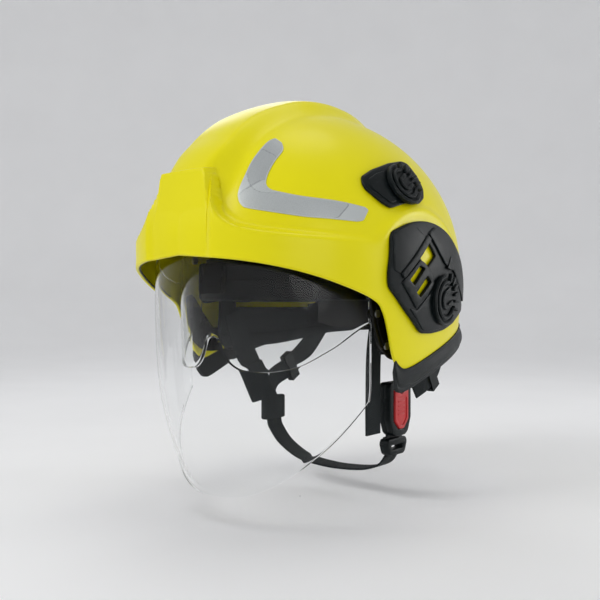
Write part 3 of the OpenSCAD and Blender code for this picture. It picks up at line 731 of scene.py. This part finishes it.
# ---------- shell ----------
def rim_line():
    """The rim's azimuths and heights from the front to the rear, evenly spaced, its corners rounded."""
    per_degree = 2.1   # about how many millimetres of rim there are to a degree
    spacing = 3.3
    line = np.array([(p * per_degree, z) for p, z in RIM], float)
    for _ in range(3):
        cut = [line[0]]
        for a, b in zip(line[:-1], line[1:]):
            cut += [mix(a, b, 0.2), mix(a, b, 0.8)]
        line = np.array(cut + [line[-1]])
    line = evenly(line, spacing)
    return line[:, 0] / per_degree, line[:, 1]


RIM_P, RIM_Z = rim_line()


def rim(p):
    """Height of the rim at an azimuth."""
    return np.interp(fold(p), RIM_P, RIM_Z)


def full_turn():
    """Azimuths of the shell's columns all round, closer together where the band's edge climbs."""
    p = np.unique(np.concatenate([RIM_P, np.arange(9, 24, 0.4)]))
    return np.concatenate([p, 360 - p[-2:0:-1]])


def outer_shell():
    """Shell wall from the rim to the top, with a rounded lip at the rim."""
    rows = 120
    p = full_turn()

    def grid(out):
        start = elevation(p, rim(p), out)
        t = start[None, :] + (90 - start[None, :]) * (np.arange(rows + 1) / rows)[:, None] ** 1.15
        return shell_point(np.broadcast_to(p, t.shape), t, out)
    outer, inner = grid(0), grid(-SHELL_WALL)
    across = (outer[0] - inner[0]) / 2
    down = -unit(outer[1] - outer[0]) * SHELL_WALL / 2
    middle = (outer[0] + inner[0]) / 2
    lip = [middle + across * math.cos(a) + down * math.sin(a) for a in np.radians([150, 120, 90, 60, 30])]
    rings = np.concatenate([inner[::-1], np.array(lip), outer])
    solid = rings.reshape(-1, 3), grid_faces(ring_index(*rings.shape[:2]))
    make("outer_shell", [solid], "shell_paint", angle=60)


def front_plate():
    """Flat-faced badge plate on the brow, its sides rounded down to the band."""
    bottom, top = -6.5, 51.5
    face_y, lean, belly = -139, 0.055, 0.6
    u, w = np.meshgrid(np.linspace(-1, 1, 45), np.linspace(0, 1, 49))
    z = mix(bottom, top, w)
    p = u * mix(10.9, 9.8, z / 50)
    proud = 0.05 + 0.3 * ramp(-4, 12, z)
    back = shell_point(p, elevation(p, z), proud)
    edge = np.minimum.reduce([(1 - np.abs(u)) / 0.07, (1 - w) / 0.035, np.ones_like(u)])
    edge = np.sqrt(1 - (1 - np.clip(edge, 0, 1)) ** 2)
    flat = face_y + lean * (z + 6) + belly * u * u
    face = back.copy()
    face[..., 1] = mix(back[..., 1], np.minimum(back[..., 1] - proud, flat), edge)
    make("front_plate", [between(face, back - np.array([0, -0.9, 0]))], "shell_paint", angle=50)


def brow_seal():
    """Thin dark rubber strip along the rim's inner edge at the brow: painted shadow, a dark part standing in
    for the shade under the brim.
    """
    p = np.arange(-57, 57.1, 1.5)
    low, high = -1.0, 0.2
    height = np.linspace(low, high, 5)[:, None]
    swell = np.sin(np.pi * (height - low) / (high - low))

    def grid(out, bulge):
        return shell_point(p, elevation(p, rim(p) + height, out), out + bulge * swell)
    # the near-black strip is painted shadow: it darkens the brim's lower edge where shade falls
    make("brow_seal", [between(grid(-1.3, 0.3), grid(-SHELL_WALL - 0.6, -0.3))], "rubber", bevel=0.2)


def edge_trim():
    """Rubber trim with a bead along its lower edge and a step where it grips the shell."""
    p = full_turn()
    p = p[fold(p) > 71.5]
    low = rim(p) - mix(6, 19, ramp(70, 76, fold(p))) + 2 * ramp(80, 120, fold(p))
    u = np.linspace(0, 1, 15)[:, None]
    body = 3.5 * (0.35 + 0.65 * ramp(80, 130, fold(p))) * np.sin(np.pi * np.minimum(1, u * 1.12))
    bead = hump(1.1, 0.1, 0.07, u) - hump(0.7, 0.24, 0.05, u)
    step = hump(0.8, 0.97, 0.06, u)

    def grid(out, swell):
        return shell_point(p, elevation(p, mix(low, rim(p) - 0.2, u), out), out + swell)
    make("edge_trim", [between(grid(0.6, body + bead + step), grid(-1.6, 0))], "rubber", bevel=0.5, angle=50)


def tape(name, low_edge, high_edge, seams, tones, mirror=False):
    """Reflective sticker between two edges of (azimuth, elevation), its ends rounded. Each seam is its place
    along the low edge and along the high edge; tones are for the parts before, between and after them."""
    seam_half, seam_tone, edge_tone = 0.003, 0.5, 1.15
    low_rail, high_rail = (evenly(smooth_route(edge, 8), 0.4) for edge in (low_edge, high_edge))
    s = np.linspace(0, 1, 240)
    across = np.concatenate([[0, 0.03, 0.06], np.linspace(0.1, 0.9, 17), [0.94, 0.97, 1]])
    corner = 0.035 * np.clip((np.abs(across - 0.5) - 0.32) / 0.18, 0, 1) ** 2
    along = s[:, None] + corner[None, :] * (1 - 2 * s[:, None])

    def edge(rail):
        at = np.linspace(0, 1, len(rail))
        return shell_point(np.interp(along, at, rail[:, 0]), np.interp(along, at, rail[:, 1]))
    flat = edge(low_rail) * (1 - across[None, :, None]) + edge(high_rail) * across[None, :, None]
    past = s[:, None, None] - np.array([low + (high - low) * across for low, high in seams]).T
    tone = np.array(tones)[(past > 0).sum(-1)]
    tone[(np.abs(past) < seam_half).any(-1)] = seam_tone
    tone[:, (across < 0.04) | (across > 0.96)] = edge_tone
    tone[[0, -1]] = edge_tone
    solid = between(onto_shell(flat, 0.5), onto_shell(flat, 0.15))
    if mirror:
        solid = mirrored(solid)
    make(name, [solid], "reflective_tape", tone=np.concatenate([tone.ravel(), tone.ravel()]))


TAPE_LOW = [(24.3, 41.2), (21.9, 37.9), (19.1, 31), (17.9, 25.5), (17, 21.5), (17, 18.8), (18.4, 16.4),
            (21.5, 15.3), (35.5, 13.9), (45, 13.9), (56.2, 14)]
TAPE_HIGH = [(28.6, 38.4), (28.9, 35.2), (27, 31.2), (25.5, 27), (25, 24), (25.3, 22.5), (26.4, 21.4),
             (28.6, 20.8), (36.5, 19.9), (48.5, 19.7), (59.3, 18.9)]


def tapes():
    """An L-shaped sticker on each side and a straight one at the rear."""
    for name, mirror in (("tape_left", False), ("tape_right", True)):
        tape(name, TAPE_LOW, TAPE_HIGH, [(0.1, 0.12), (0.24, 0.44), (0.36, 0.28), (0.86, 0.86)],
             [0.72, 0.72, 0.92, 0.84, 1.02], mirror=mirror)
    p = np.arange(150, 211, 10.0)
    square_seams = [(s, s) for s in (0.2, 0.4, 0.6, 0.8)]
    tape("tape_rear", [(a, 4.0) for a in p], [(a, 12.0) for a in p], square_seams, [0.85] * 5)


# ---------- side covers, drawn as (front to back, up) on the left flank ----------
def arc_points(centre, size, start, end, step):
    way = 1 if end > start else -1
    a = np.radians(np.arange(start, end + 0.1 * way, step * way))
    return [(centre[0] + size[0] * math.cos(t), centre[1] + size[1] * math.sin(t)) for t in a]


def side_cover_solids():
    """Cover plate with a diamond and two slots for windows, and the raised areas on it."""
    sweep = arc_points((8, -40), (76, 60.6), 12, 112, 5)
    outline = [(77, -46)] + sweep + [(-37.5, 9.5), (-39, -5), (-41.5, -20), (-41, -30.5), (-24.5, -47),
                                     (-3, -65), (12, -65.5), (32, -63.5), (54, -58)]
    diamond = rounded([(6, 4), (14.5, -5.5), (1.5, -15.5), (-9, -7)], 1.2, 2)
    frame_edge = [(-8.5, -9.5), (-2, -12.2), (4, -17), (8.5, -22.5), (11, -28), (-12.5, -46.5), (-29.5, -27)]
    slot_a = rounded([(-9, -14), (-2.8, -16), (-16, -29), (-21, -25)], 0.8, 2)
    slot_b = rounded([(0.5, -21.5), (6, -26), (-8.2, -37.8), (-13, -34.3)], 0.8, 2)
    base = slab(rounded(outline, 3.5, 2), 0.7, 3.2, 0.9, holes=[diamond, slot_a, slot_b], cell=5)
    panel = slab(rounded([(-36, 8.6), (-13.7, 18), (2.4, 8.4), (-30.2, -21), (-37.5, -18), (-37.3, -6)],
                         1.5, 2), 2.8, 3.6, 0.3, cell=5)
    rib = slab(rounded([(3.6, 10), (8.4, 7), (-27.5, -24.5), (-30.5, -20.5)], 1.0, 2), 2.8, 4.7, 0.5, cell=5)
    raised = slab(rounded(frame_edge, 1.5, 2), 2.8, 4.2, 0.5, holes=[slot_a, slot_b], cell=5)
    crown = [(5, 11)] + arc_points((8, -40), (72.5, 57.2), 84, 10, 6)
    inner_arc = [(78, -41), (62, -30), (50, -19), (41, -13), (30, -12.5), (21, -5), (10.5, 6)]
    ridge = slab(rounded(crown + inner_arc, 2, 2), 2.8, 4.8, 0.7, cell=5)
    blade = slab(rounded([(38.5, -4.5), (43, -16), (30.5, -14.5)], 0.8, 2), 4.4, 5.6, 0.5, cell=5)
    skirt = slab(rounded([(-20, -46), (-12.5, -47.8), (12, -29.5), (26, -19), (56, -22), (76, -42), (76, -48),
                          (52, -57), (31, -61.5), (12, -63.5), (-1.5, -63)], 2, 2), 2.8, 3.9, 0.5, cell=5)
    return [mapped(s, on_flank) for s in (base, panel, rib, raised, ridge, blade, skirt)]


def upper_cover_solids():
    """Cover plate with a raised area to the front and one to the rear."""
    outline = [(-51, 44), (-49, 50), (-37, 56.5), (-15, 64.3), (5, 69), (12, 68), (17, 57), (17, 47),
               (12, 39), (2, 33.5), (-8, 33), (-17, 32), (-33, 27), (-40, 30.5), (-50, 39.5)]
    base = slab(rounded(outline, 2.5, 3), 0.8, 3.6, 1.0, cell=5)
    panel = slab(rounded([(-47, 44), (-46, 48), (-36, 53.5), (-27, 56.5), (-31, 45), (-25, 33.5), (-33, 31),
                          (-46, 41)], 2, 3), 3.2, 4.3, 0.4, cell=5)
    rear = slab(rounded([(-12, 62), (4, 66), (10, 65), (13.5, 56), (13.5, 47.5), (9, 41), (1, 36.5),
                         (-8, 36)], 2, 3), 3.2, 4.4, 0.5, cell=5)
    return [mapped(s, on_flank) for s in (base, panel, rear)]


def half_ring(r0, r1, low, high, start, end):
    """Rounded ridge about Z between two radii, open where the sector ends."""
    e = 0.35 * min(r1 - r0, high - low)
    profile = [(r0, low), (r1, low), (r1, high - e), (r1 - e, high), (r0 + e, high), (r0, high - e)]
    return lathe(profile, start, end, 6)


def socket_solids(bore, teeth, reach):
    """Snap socket: base, bored ring, C-shaped ridges open to the rear, U-shaped catch and a comb of teeth."""
    rim_r = bore + 3
    comb = 46   # degrees to each side
    base = rod(rim_r, 0, 1.8)
    floor = lathe([(0, 1.7), (bore - 0.6, 1.7), (bore - 1.2, 2.2), (0, 2.4)])
    ring = half_ring(bore, rim_r, 1.6, 4.2, 52, 308)
    outer = half_ring(rim_r + 1.2, rim_r + 4.2, 0, 3.3, 66, 294)
    step = half_ring(rim_r - 0.2, rim_r + 1.4, 0, 2.3, 60, 300)
    catch = half_ring(bore * 0.3, bore * 0.62, 2.0, 4.0, 80, 280)
    tips = [bar((bore * 0.72, bore * 0.32, 2.0), (bore * 0.33, side * bore * 0.46, 3.0), 0.5)
            for side in (-1, 1)]
    solids = [base, floor, ring, outer, step, catch] + tips
    for k in range(teeth):
        a = math.radians(-comb + 2 * comb * k / (teeth - 1))
        length = reach * (0.8 + 0.2 * math.cos(a))
        points, faces = bar((length, 2.3, 3.6), (rim_r - 1.2 + length / 2, 0, 2.4), 0.6)
        spin = np.array([[math.cos(a), math.sin(a), 0], [-math.sin(a), math.cos(a), 0], [0, 0, 1]])
        solids.append((points @ spin, faces))
    return solids


def covers():
    lower_at, lower_axis = on_flank((27, -39.5, 3.5)), (1, 0.068, -0.05)
    upper_at, upper_axis = on_flank((-12, 47, 3.6)), (0.9, -0.1, 0.43)
    for name, solids in (
            ("side_cover", side_cover_solids()), ("upper_cover", upper_cover_solids()),
            ("lower_socket", [oriented(s, lower_at, lower_axis, 115) for s in socket_solids(12.5, 6, 8.5)]),
            ("upper_socket", [oriented(s, upper_at, upper_axis, 125) for s in socket_solids(10, 6, 7.5)])):
        pair(name, solids, "black_plastic", angle=30)


# ---------- inside the shell ----------
def impact_liner():
    """Foam shell outside the head, thicker at the rear, with grooves up its inside."""
    p = np.arange(0, 360, 3.0)
    rows = 44

    def thick(p, t):
        return 7 + 11 * ramp(95, 140, fold(p)) * (1 - ramp(20, 60, t)) + 2 * ramp(60, 85, t)
    foot = np.degrees(np.arcsin(mix(6, -6, ramp(40, 120, fold(p))) / 100))
    t = foot[None, :] + (90 - foot[None, :]) * (np.arange(rows + 1) / rows)[:, None]
    pp = np.broadcast_to(p, t.shape)
    grooves = hump(1.6, 15, 2.4, np.mod(pp, 30)) * ramp(8, 18, t) * (1 - ramp(58, 70, t))
    outer = head_point(pp, t, LINER_GAP + thick(pp, t))
    inner = head_point(pp, t, LINER_GAP + grooves)
    make("impact_liner", [between(outer, inner, wrap=True, pole=True)], "foam", bevel=1.0)


def oval(p, size, inward, z):
    """Point on an oval round the head, or inside it."""
    p = np.radians(p)
    return xyz((size[0] - inward) * np.sin(p), HEAD_CENTRE[1] - (size[1] - inward) * np.cos(p), z)


def oval_strip(size, thick, low, high, start, end, crown=0.0, pinch=0.0):
    """Band round the head. crown swells it between its edges; pinch narrows it towards its ends."""
    p = np.arange(start, end + 0.01, 2.0)
    u = np.linspace(-1, 1, 9)[:, None]
    middle, half = (low + high) / 2, (high - low) / 2
    ends = 1 - pinch * (1 - ramp(start, start + 14, p) * (1 - ramp(end - 14, end, p)))

    def grid(inward):
        return oval(p, size, inward, middle + half * u * ends)
    return between(grid(0.25 * crown * u * u), grid(thick + crown * (1 - u * u)))


def harness():
    """Ribbed chassis ring, and the headband with its leather pad."""
    p = np.arange(0, 360, 3.0)
    heights = (-40, -39, -37, -26, -25, -24, -16, -14, -13)
    ribs = (0, -0.8, 0, 0, -0.7, 0, 0, -0.8, 0)
    outer = np.stack([oval(p, FRAME_OVAL, rib, z) for z, rib in zip(heights, ribs)])
    inner = np.stack([oval(p, FRAME_OVAL, 2.4, z) for z in heights])
    make("harness_frame", [between(outer, inner, wrap=True)], "frame_plastic", bevel=0.5)
    band = oval_strip(HEADBAND_OVAL, 1.8, -30, -6, -126, 126, pinch=0.35)
    make("headband", [band], "frame_plastic", bevel=0.4)
    cushion = oval_strip(BROW_PAD_OVAL, 1.2, -31, -5, -72, 72, crown=2.0, pinch=0.5)
    pad = make("brow_pad", [cushion], "leather")


def crown_straps():
    """Two webbing straps that cross over the head, and the pad under their crossing."""
    for name, axis, lift in (("crown_strap_side", 0, 0.6), ("crown_strap_long", 1, 2.0)):
        a = np.radians(np.arange(12, 168.1, 4))
        reach = HEAD[axis] + lift + 0.5
        rise = HEAD[2] + lift + 0.5
        run, side = (((1, 0), (0, 1, 0)), ((0, -1), (1, 0, 0)))[axis]
        route = HEAD_CENTRE + xyz(run[0] * reach * np.cos(a), run[1] * reach * np.cos(a), rise * np.sin(a))
        make(name, [ribbon(route, side, 20, 1.0, 3)], "webbing")
    p, t = np.meshgrid(np.arange(0, 360, 7.5), np.linspace(66, 90, 13))
    pad = make("crown_pad", [between(head_point(p, t, 0.2), head_point(p, t, -1.6 - 1.4 * ramp(66, 74, t)),
                                     wrap=True, pole=True)], "padding", bevel=0.6)


def side_linings():
    """Padded lining inside each ear flap, with a sewn channel along it."""
    p = np.arange(74, 146.1, 1.8)
    low = mix(-82, -68, ramp(105, 160, p))
    u = np.linspace(0, 1, 21)[:, None]
    off_middle = abs(2 * u - 1)
    face = 2.2 + 1.8 * (1 - off_middle ** 4) - hump(1.5, 0.36, 0.05, u)

    def grid(inward):
        return oval(p, (LINING_OVAL[0] - 1.5 * off_middle, LINING_OVAL[1]), inward, mix(low, -45, u))
    for pad in pair("side_lining", [between(grid(0.4 * off_middle ** 2), grid(face))], "padding", bevel=0.8):
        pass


# ---------- visors ----------
# the face shield's Y at the middle and its half width, at each height
SHIELD_FACE = [(-190, -100), (-187, -102), (-170, -110), (-150, -117.5), (-125, -124), (-100, -128),
               (-70, -131), (-35, -132), (-7, -131.5), (5, -130.5)]
SHIELD_SIDE = [(-190, 73), (-187, 74), (-150, 89), (-100, 99.5), (-40, 100), (0, 98)]
SHIELD_MIDDLE_Y = -18


def face_shield():
    """Face shield with its rolled lip: over the last few millimetres the wall turns outward."""
    q = np.arange(-80, 80.1, 1.6)
    a = np.radians(q)
    top = -3 - 24 * np.sin(a) ** 2
    bottom = -187 + 92 * (1 - np.cos(a)) ** 1.3
    u = np.concatenate([np.linspace(0, 10, 11), np.linspace(13, 170, 50)])[:, None] / 170
    above = u * (top - bottom)
    flare = hump(2.0, 0, 3.2, above) * (1 - ramp(62, 78, np.abs(q)))
    z = bottom + above

    def grid(inward):
        side = smooth_lookup(z, SHIELD_SIDE) - inward
        forward = smooth_lookup(z, SHIELD_FACE) - SHIELD_MIDDLE_Y + inward
        return xyz(side * np.sin(a), SHIELD_MIDDLE_Y + forward * np.cos(a), z)
    shield = make("face_shield", [between(grid(-flare), grid(2.2 - flare))], "clear_shield", body="shield",
                  bevel=0.7, angle=60, stands_for=["face_shield", "shield_lip"])
    shield.visible_shadow = False


def shield_arms():
    """Ribbed arm from the shield to its hinge on each side, with the posts that take the screws."""
    y, z = SHIELD_PIVOT
    outline = [(-46, -36), (-34, -33), (-22, -46), (-6, -64), (y - 9, z + 10.6), (y - 3, z + 11),
               (y + 6, z + 9), (y + 11, z), (y + 6, z - 9), (y - 3, z - 11), (-10, -86), (-20, -84),
               (-34, -74), (-42, -58)]
    plate = slab(rounded(outline, 4, 4), 0, 2.4, 0.5)
    rib = slab(rounded([(-40, -42), (-35, -38), (-10, -68), (y - 8, z + 5), (y - 8, z - 5), (-12, -80),
                        (-30, -74), (-38, -58)], 3, 3), 2.2, 3.4, 0.4)
    posts = [oriented(rod(4, 0, 3.8), (97.4, a, b), (1, 0, 0))
             for a, b in ((-38, -50), (-26, -74))]
    arm = [mapped(s, beside((ARM_X, 0, 0))) for s in (plate, rib)]
    pair("shield_arm", arm + posts, "smoked_plastic", body="shield")


OCULAR_HALF, OCULAR_MIDDLE_Y, OCULAR_REACH = 94.5, -5, 100
# height of the eye visor's lower edge at each distance from the middle
OCULAR_LOW = [(0, -67), (5, -69), (10, -78), (16, -87), (26, -92), (44, -93), (60, -90), (80, -76), (94, -56)]


def ocular_point(q, z, inward=0.0):
    a = np.radians(q)
    reach = OCULAR_REACH - 0.0009 * (z + 35) ** 2 - inward
    return xyz((OCULAR_HALF - inward) * np.sin(a), OCULAR_MIDDLE_Y - reach * np.cos(a), z)


def ocular_visor():
    """Eye visor with a moulded bead round its nose opening."""
    q = np.concatenate([np.arange(0, 20, 1.0), np.arange(20, 75.1, 2.5)])
    q = np.concatenate([-q[:0:-1], q])
    bottom = smooth_lookup(96 * np.abs(np.sin(np.radians(q))), OCULAR_LOW)
    top = -4 - 6 * np.sin(np.radians(q)) ** 2
    z = mix(bottom, top, np.concatenate([np.linspace(0, 0.08, 7), np.linspace(0.1, 1, 34)])[:, None])
    bead = hump(1.3, 0, 2.6, z - bottom) * (1 - ramp(14, 24, np.abs(q)))
    edge = hump(0.5, 0, 1.6, z - bottom)
    solid = between(ocular_point(q, z, -(bead + edge)), ocular_point(q, z, 1.8))
    visor = make("ocular_visor", [solid], "clear_ocular", body="eye_visor", bevel=0.5, angle=60)
    visor.visible_shadow = False


def ocular_fittings():
    """Arm from the eye visor to its hinge on each side, and the ribbed finger tab at the front."""
    y, z = OCULAR_PIVOT
    outline = [(-33, -20), (-26, -17), (18, -19.5), (y + 6, z + 7), (y + 9, z), (y + 6, z - 7), (18, -36.5),
               (-26, -42), (-33, -38)]
    plate = slab(rounded(outline, 3, 3), 0, 2.2, 0.5)
    posts = [oriented(rod(3, 0, 2.5), (OCULAR_ARM_X - 2, -29.5, b), (1, 0, 0))
             for b in (-22, -36)]
    arm = mapped(plate, beside((OCULAR_ARM_X, 0, 0)))
    pair("ocular_arm", [arm] + posts, "black_plastic", body="eye_visor")
    tab = slab(rounded([(-14, -12), (14, -12), (14, -35), (-14, -35)], 3, 4), 0, 1.6, 0.4, cell=4)

    def front(v):
        surface = ocular_point(np.degrees(np.arcsin(v[:, 0] / OCULAR_HALF)), v[:, 1])
        return surface - (v[:, 2:] - 0.2) * (0, 1, 0)
    ribs = [slab(rounded([(x - 0.9, -14), (x + 0.9, -14), (x + 0.9, -33), (x - 0.9, -33)], 0.8, 2),
                 1.2, 2.2, 0.4, cell=4) for x in (-11, -5.5, 0, 5.5, 11)]
    make("ocular_tab", [mapped(s, front) for s in [tab] + ribs], "smoked_plastic", body="eye_visor")


# ---------- nape ----------
def nape():
    """Sliding nape band with its pad, the ratchet's body, and the knob with a cap and 36 grip teeth."""
    band = oval_strip(NAPE_BAND_OVAL, 2, -66, -36, 131, 229, pinch=0.4)
    make("nape_band", [band], "frame_plastic", body="nape", bevel=0.4)
    cushion = oval_strip(NAPE_PAD_OVAL, 1.5, -65, -37, 138, 222, crown=1.8, pinch=0.3)
    pad = make("nape_pad", [cushion], "leather", body="nape")
    housing_y, knob_y = 130.6, 130.9

    def place(v):
        return xyz(v[:, 0], housing_y - v[:, 2], v[:, 1])
    body = slab(rounded([(-30, -67), (30, -67), (30, -41.5), (-30, -41.5)], 5, 5), 0, 9, 1.0)
    wings = [bar((4.8, 5.2, 9), (s * 32, -47, 4.5), 0.5) for s in (-1, 1)]
    make("ratchet_housing", [mapped(s, place) for s in [body] + wings], "frame_plastic", body="nape")
    teeth = 36
    angles = np.radians(np.arange(teeth * 4) * 360 / (teeth * 4))   # four corners to a tooth
    radii = 13.2 + 0.7 * np.array([0, 1, 1, 0] * teeth)
    outline = np.stack([radii * np.cos(angles), radii * np.sin(angles)], -1)
    grip = slab(outline, 0, 9.4, 0.4)
    cap = lathe([(0, 9.2), (11, 9.2), (10.4, 10), (0, 10)])
    shaft = rod(5, -8.5, 0.3)
    solids = [oriented(s, (0, knob_y, KNOB_Z), (0, 1, 0)) for s in (grip, cap, shaft)]
    make("ratchet_knob", solids, "knob_rubber", body="knob")


# ---------- straps and buckle ----------
LEFT_FRONT = [(82, -4, -50), (78, -4, -80), (76.5, -3, -112), (76, -2, -146)]
RIGHT_FRONT = [(-82, 2, -50), (-79, 11, -78), (-74, 23, -108), (-69.5, 33, -132)]
REAR_ROUTE = [(66, 119, -60), (76, 108, -84), (80, 82, -104), (78, 56, -114)]
REAR_SIDE = np.array([(0.3, -0.5, 0.8), (-0.12, -0.45, 0.88)])
SLEEVE_ROUTE = [(-76, 18.4, -98), (-74, 23, -108), (-71.7, 28.4, -121), (-69.6, 32.8, -131.5)]
CHIN_ROUTE = [(74, 28, -166.4), (66, 30, -175), (48, 34, -181.5), (24, 39, -185), (0, 42, -186),
              (-28, 43, -183), (-50, 42, -172), (-62, 42, -160), (-65.6, 42, -152), (-65.6, 42, -132)]


def straps():
    """Front and rear straps down to the buckle and to the sleeve, and the webbing under the chin."""
    make("front_strap_left", [ribbon(LEFT_FRONT, (0, 1, 0))], "webbing")
    twist = (0, 1, 0.3), (0.5, 0.85, 0.25)
    make("front_strap_right", [ribbon(RIGHT_FRONT, twist, 22)], "webbing")
    make("rear_strap_left", [ribbon(REAR_ROUTE, REAR_SIDE)], "webbing")
    right = [(-x, y, z) for x, y, z in REAR_ROUTE + [(74, 48, -131)]]
    make("rear_strap_right", [ribbon(right, REAR_SIDE * (-1, 1, 1))], "webbing")
    sleeve = ribbon(SLEEVE_ROUTE, [(0.3, 0.91, 0.27), (0.5, 0.85, 0.25)], 25.5, 5.6)
    keeper = bar((7.6, 29, 22), (-67, 42, -140), 1.6)
    make("strap_sheath", [sleeve[:2], keeper], "padding", angle=50)
    make("chin_webbing", [ribbon(CHIN_ROUTE, (0, 1, 0))], "webbing", body="chin_strap")


def buckle():
    """Housing with a pocket for the button, and the button with its raised border and grip bars."""
    outline = [(-14, 22), (14, 22), (16, 19), (16, -8), (11.5, -19), (7, -22), (-7, -22), (-11.5, -19),
               (-16, -8), (-16, 19)]
    pocket = [(-10.4, 16.4), (0, 12.2), (10.4, 16.4), (10.4, -9.2), (3.2, -16.4), (-3.2, -16.4),
              (-10.4, -9.2)]
    floor = slab(rounded(outline, 2, 3), -5.5, -0.4, 1.2)
    wall = slab(rounded(outline, 2, 3), -0.8, 5.5, 1.0, holes=[pocket])
    holes = [oriented(lathe([(0.9, 0), (1.5, 0), (1.5, 0.5), (0.9, 0.5)]), BUCKLE + np.array([0, -15.95, z]),
                      (0, -1, 0)) for z in (8, 0)]
    make("buckle_housing", [mapped(s, beside(BUCKLE)) for s in (floor, wall)] + holes, "black_plastic")
    button = [(-10, 16), (0, 12), (10, 16), (10, -9), (3, -16), (-3, -16), (-10, -9)]
    recess = [(-7.4, 9), (7.4, 9), (7.4, -8), (2, -13.4), (-2, -13.4), (-7.4, -8)]
    core = slab(rounded(button, 0.8, 2), 2.2, 5.9, 0.4)
    border = slab(rounded(button, 0.8, 2), 5.4, 6.6, 0.4, holes=[rounded(recess, 1.2, 3)])
    grips = [slab(rounded([(-5, z), (5, z), (5, z + 1.2), (-5, z + 1.2)], 0.5, 2), 5.7, 6.3, 0.25)
             for z in (-5, -1.5, 2, 5.5)]
    button_solids = [mapped(s, beside(BUCKLE)) for s in [core, border] + grips]
    make("release_button", button_solids, "red_plastic", body="button")


def adjuster():
    """D-shaped loop under the tongue, through which the chin webbing turns."""
    outline = [(-13, 6), (13, 6), (15, 2), (12, -6), (9, -8), (-9, -8), (-12, -6), (-15, 2)]
    window = [(-9, 0.5), (9, 0.5), (8, -3), (-8, -3)]
    loop = slab(rounded(outline, 2, 3), -4.5, 4.5, 1.2, holes=[rounded(window, 0.8, 2)])
    make("strap_adjuster", [mapped(loop, beside(BUCKLE + (-2, 0, -30)))], "black_plastic", body="chin_strap")


def cad_pieces():
    """Small pieces that are shown as the CAD made them, with their edges rounded."""
    for finish, bevels in (
            ("steel", {"cover_screws": 0.4, "headband_rivets": 0.5, "shield_screws": 0.3, "shield_pins": 0.4,
                       "ocular_pins": 0.3, "button_spring": 0.0}),
            ("frame_plastic", {"shield_rails": 0.4, "shield_carriages": 0.4, "ocular_brackets": 0.4,
                               "nape_guides": 0.4, "strap_anchors": 0.6}),
            ("black_plastic", {"strap_sliders": 0.7, "buckle_tongue": 0.4})):
        for node, bevel in bevels.items():
            dress(node, finish, bevel)


bpy.context.scene.view_settings.view_transform = "Standard"
camera()
lights()
stage()
outer_shell()
front_plate()
brow_seal()
edge_trim()
tapes()
covers()
impact_liner()
harness()
crown_straps()
side_linings()
face_shield()
shield_arms()
ocular_visor()
ocular_fittings()
nape()
straps()
buckle()
adjuster()
cad_pieces()
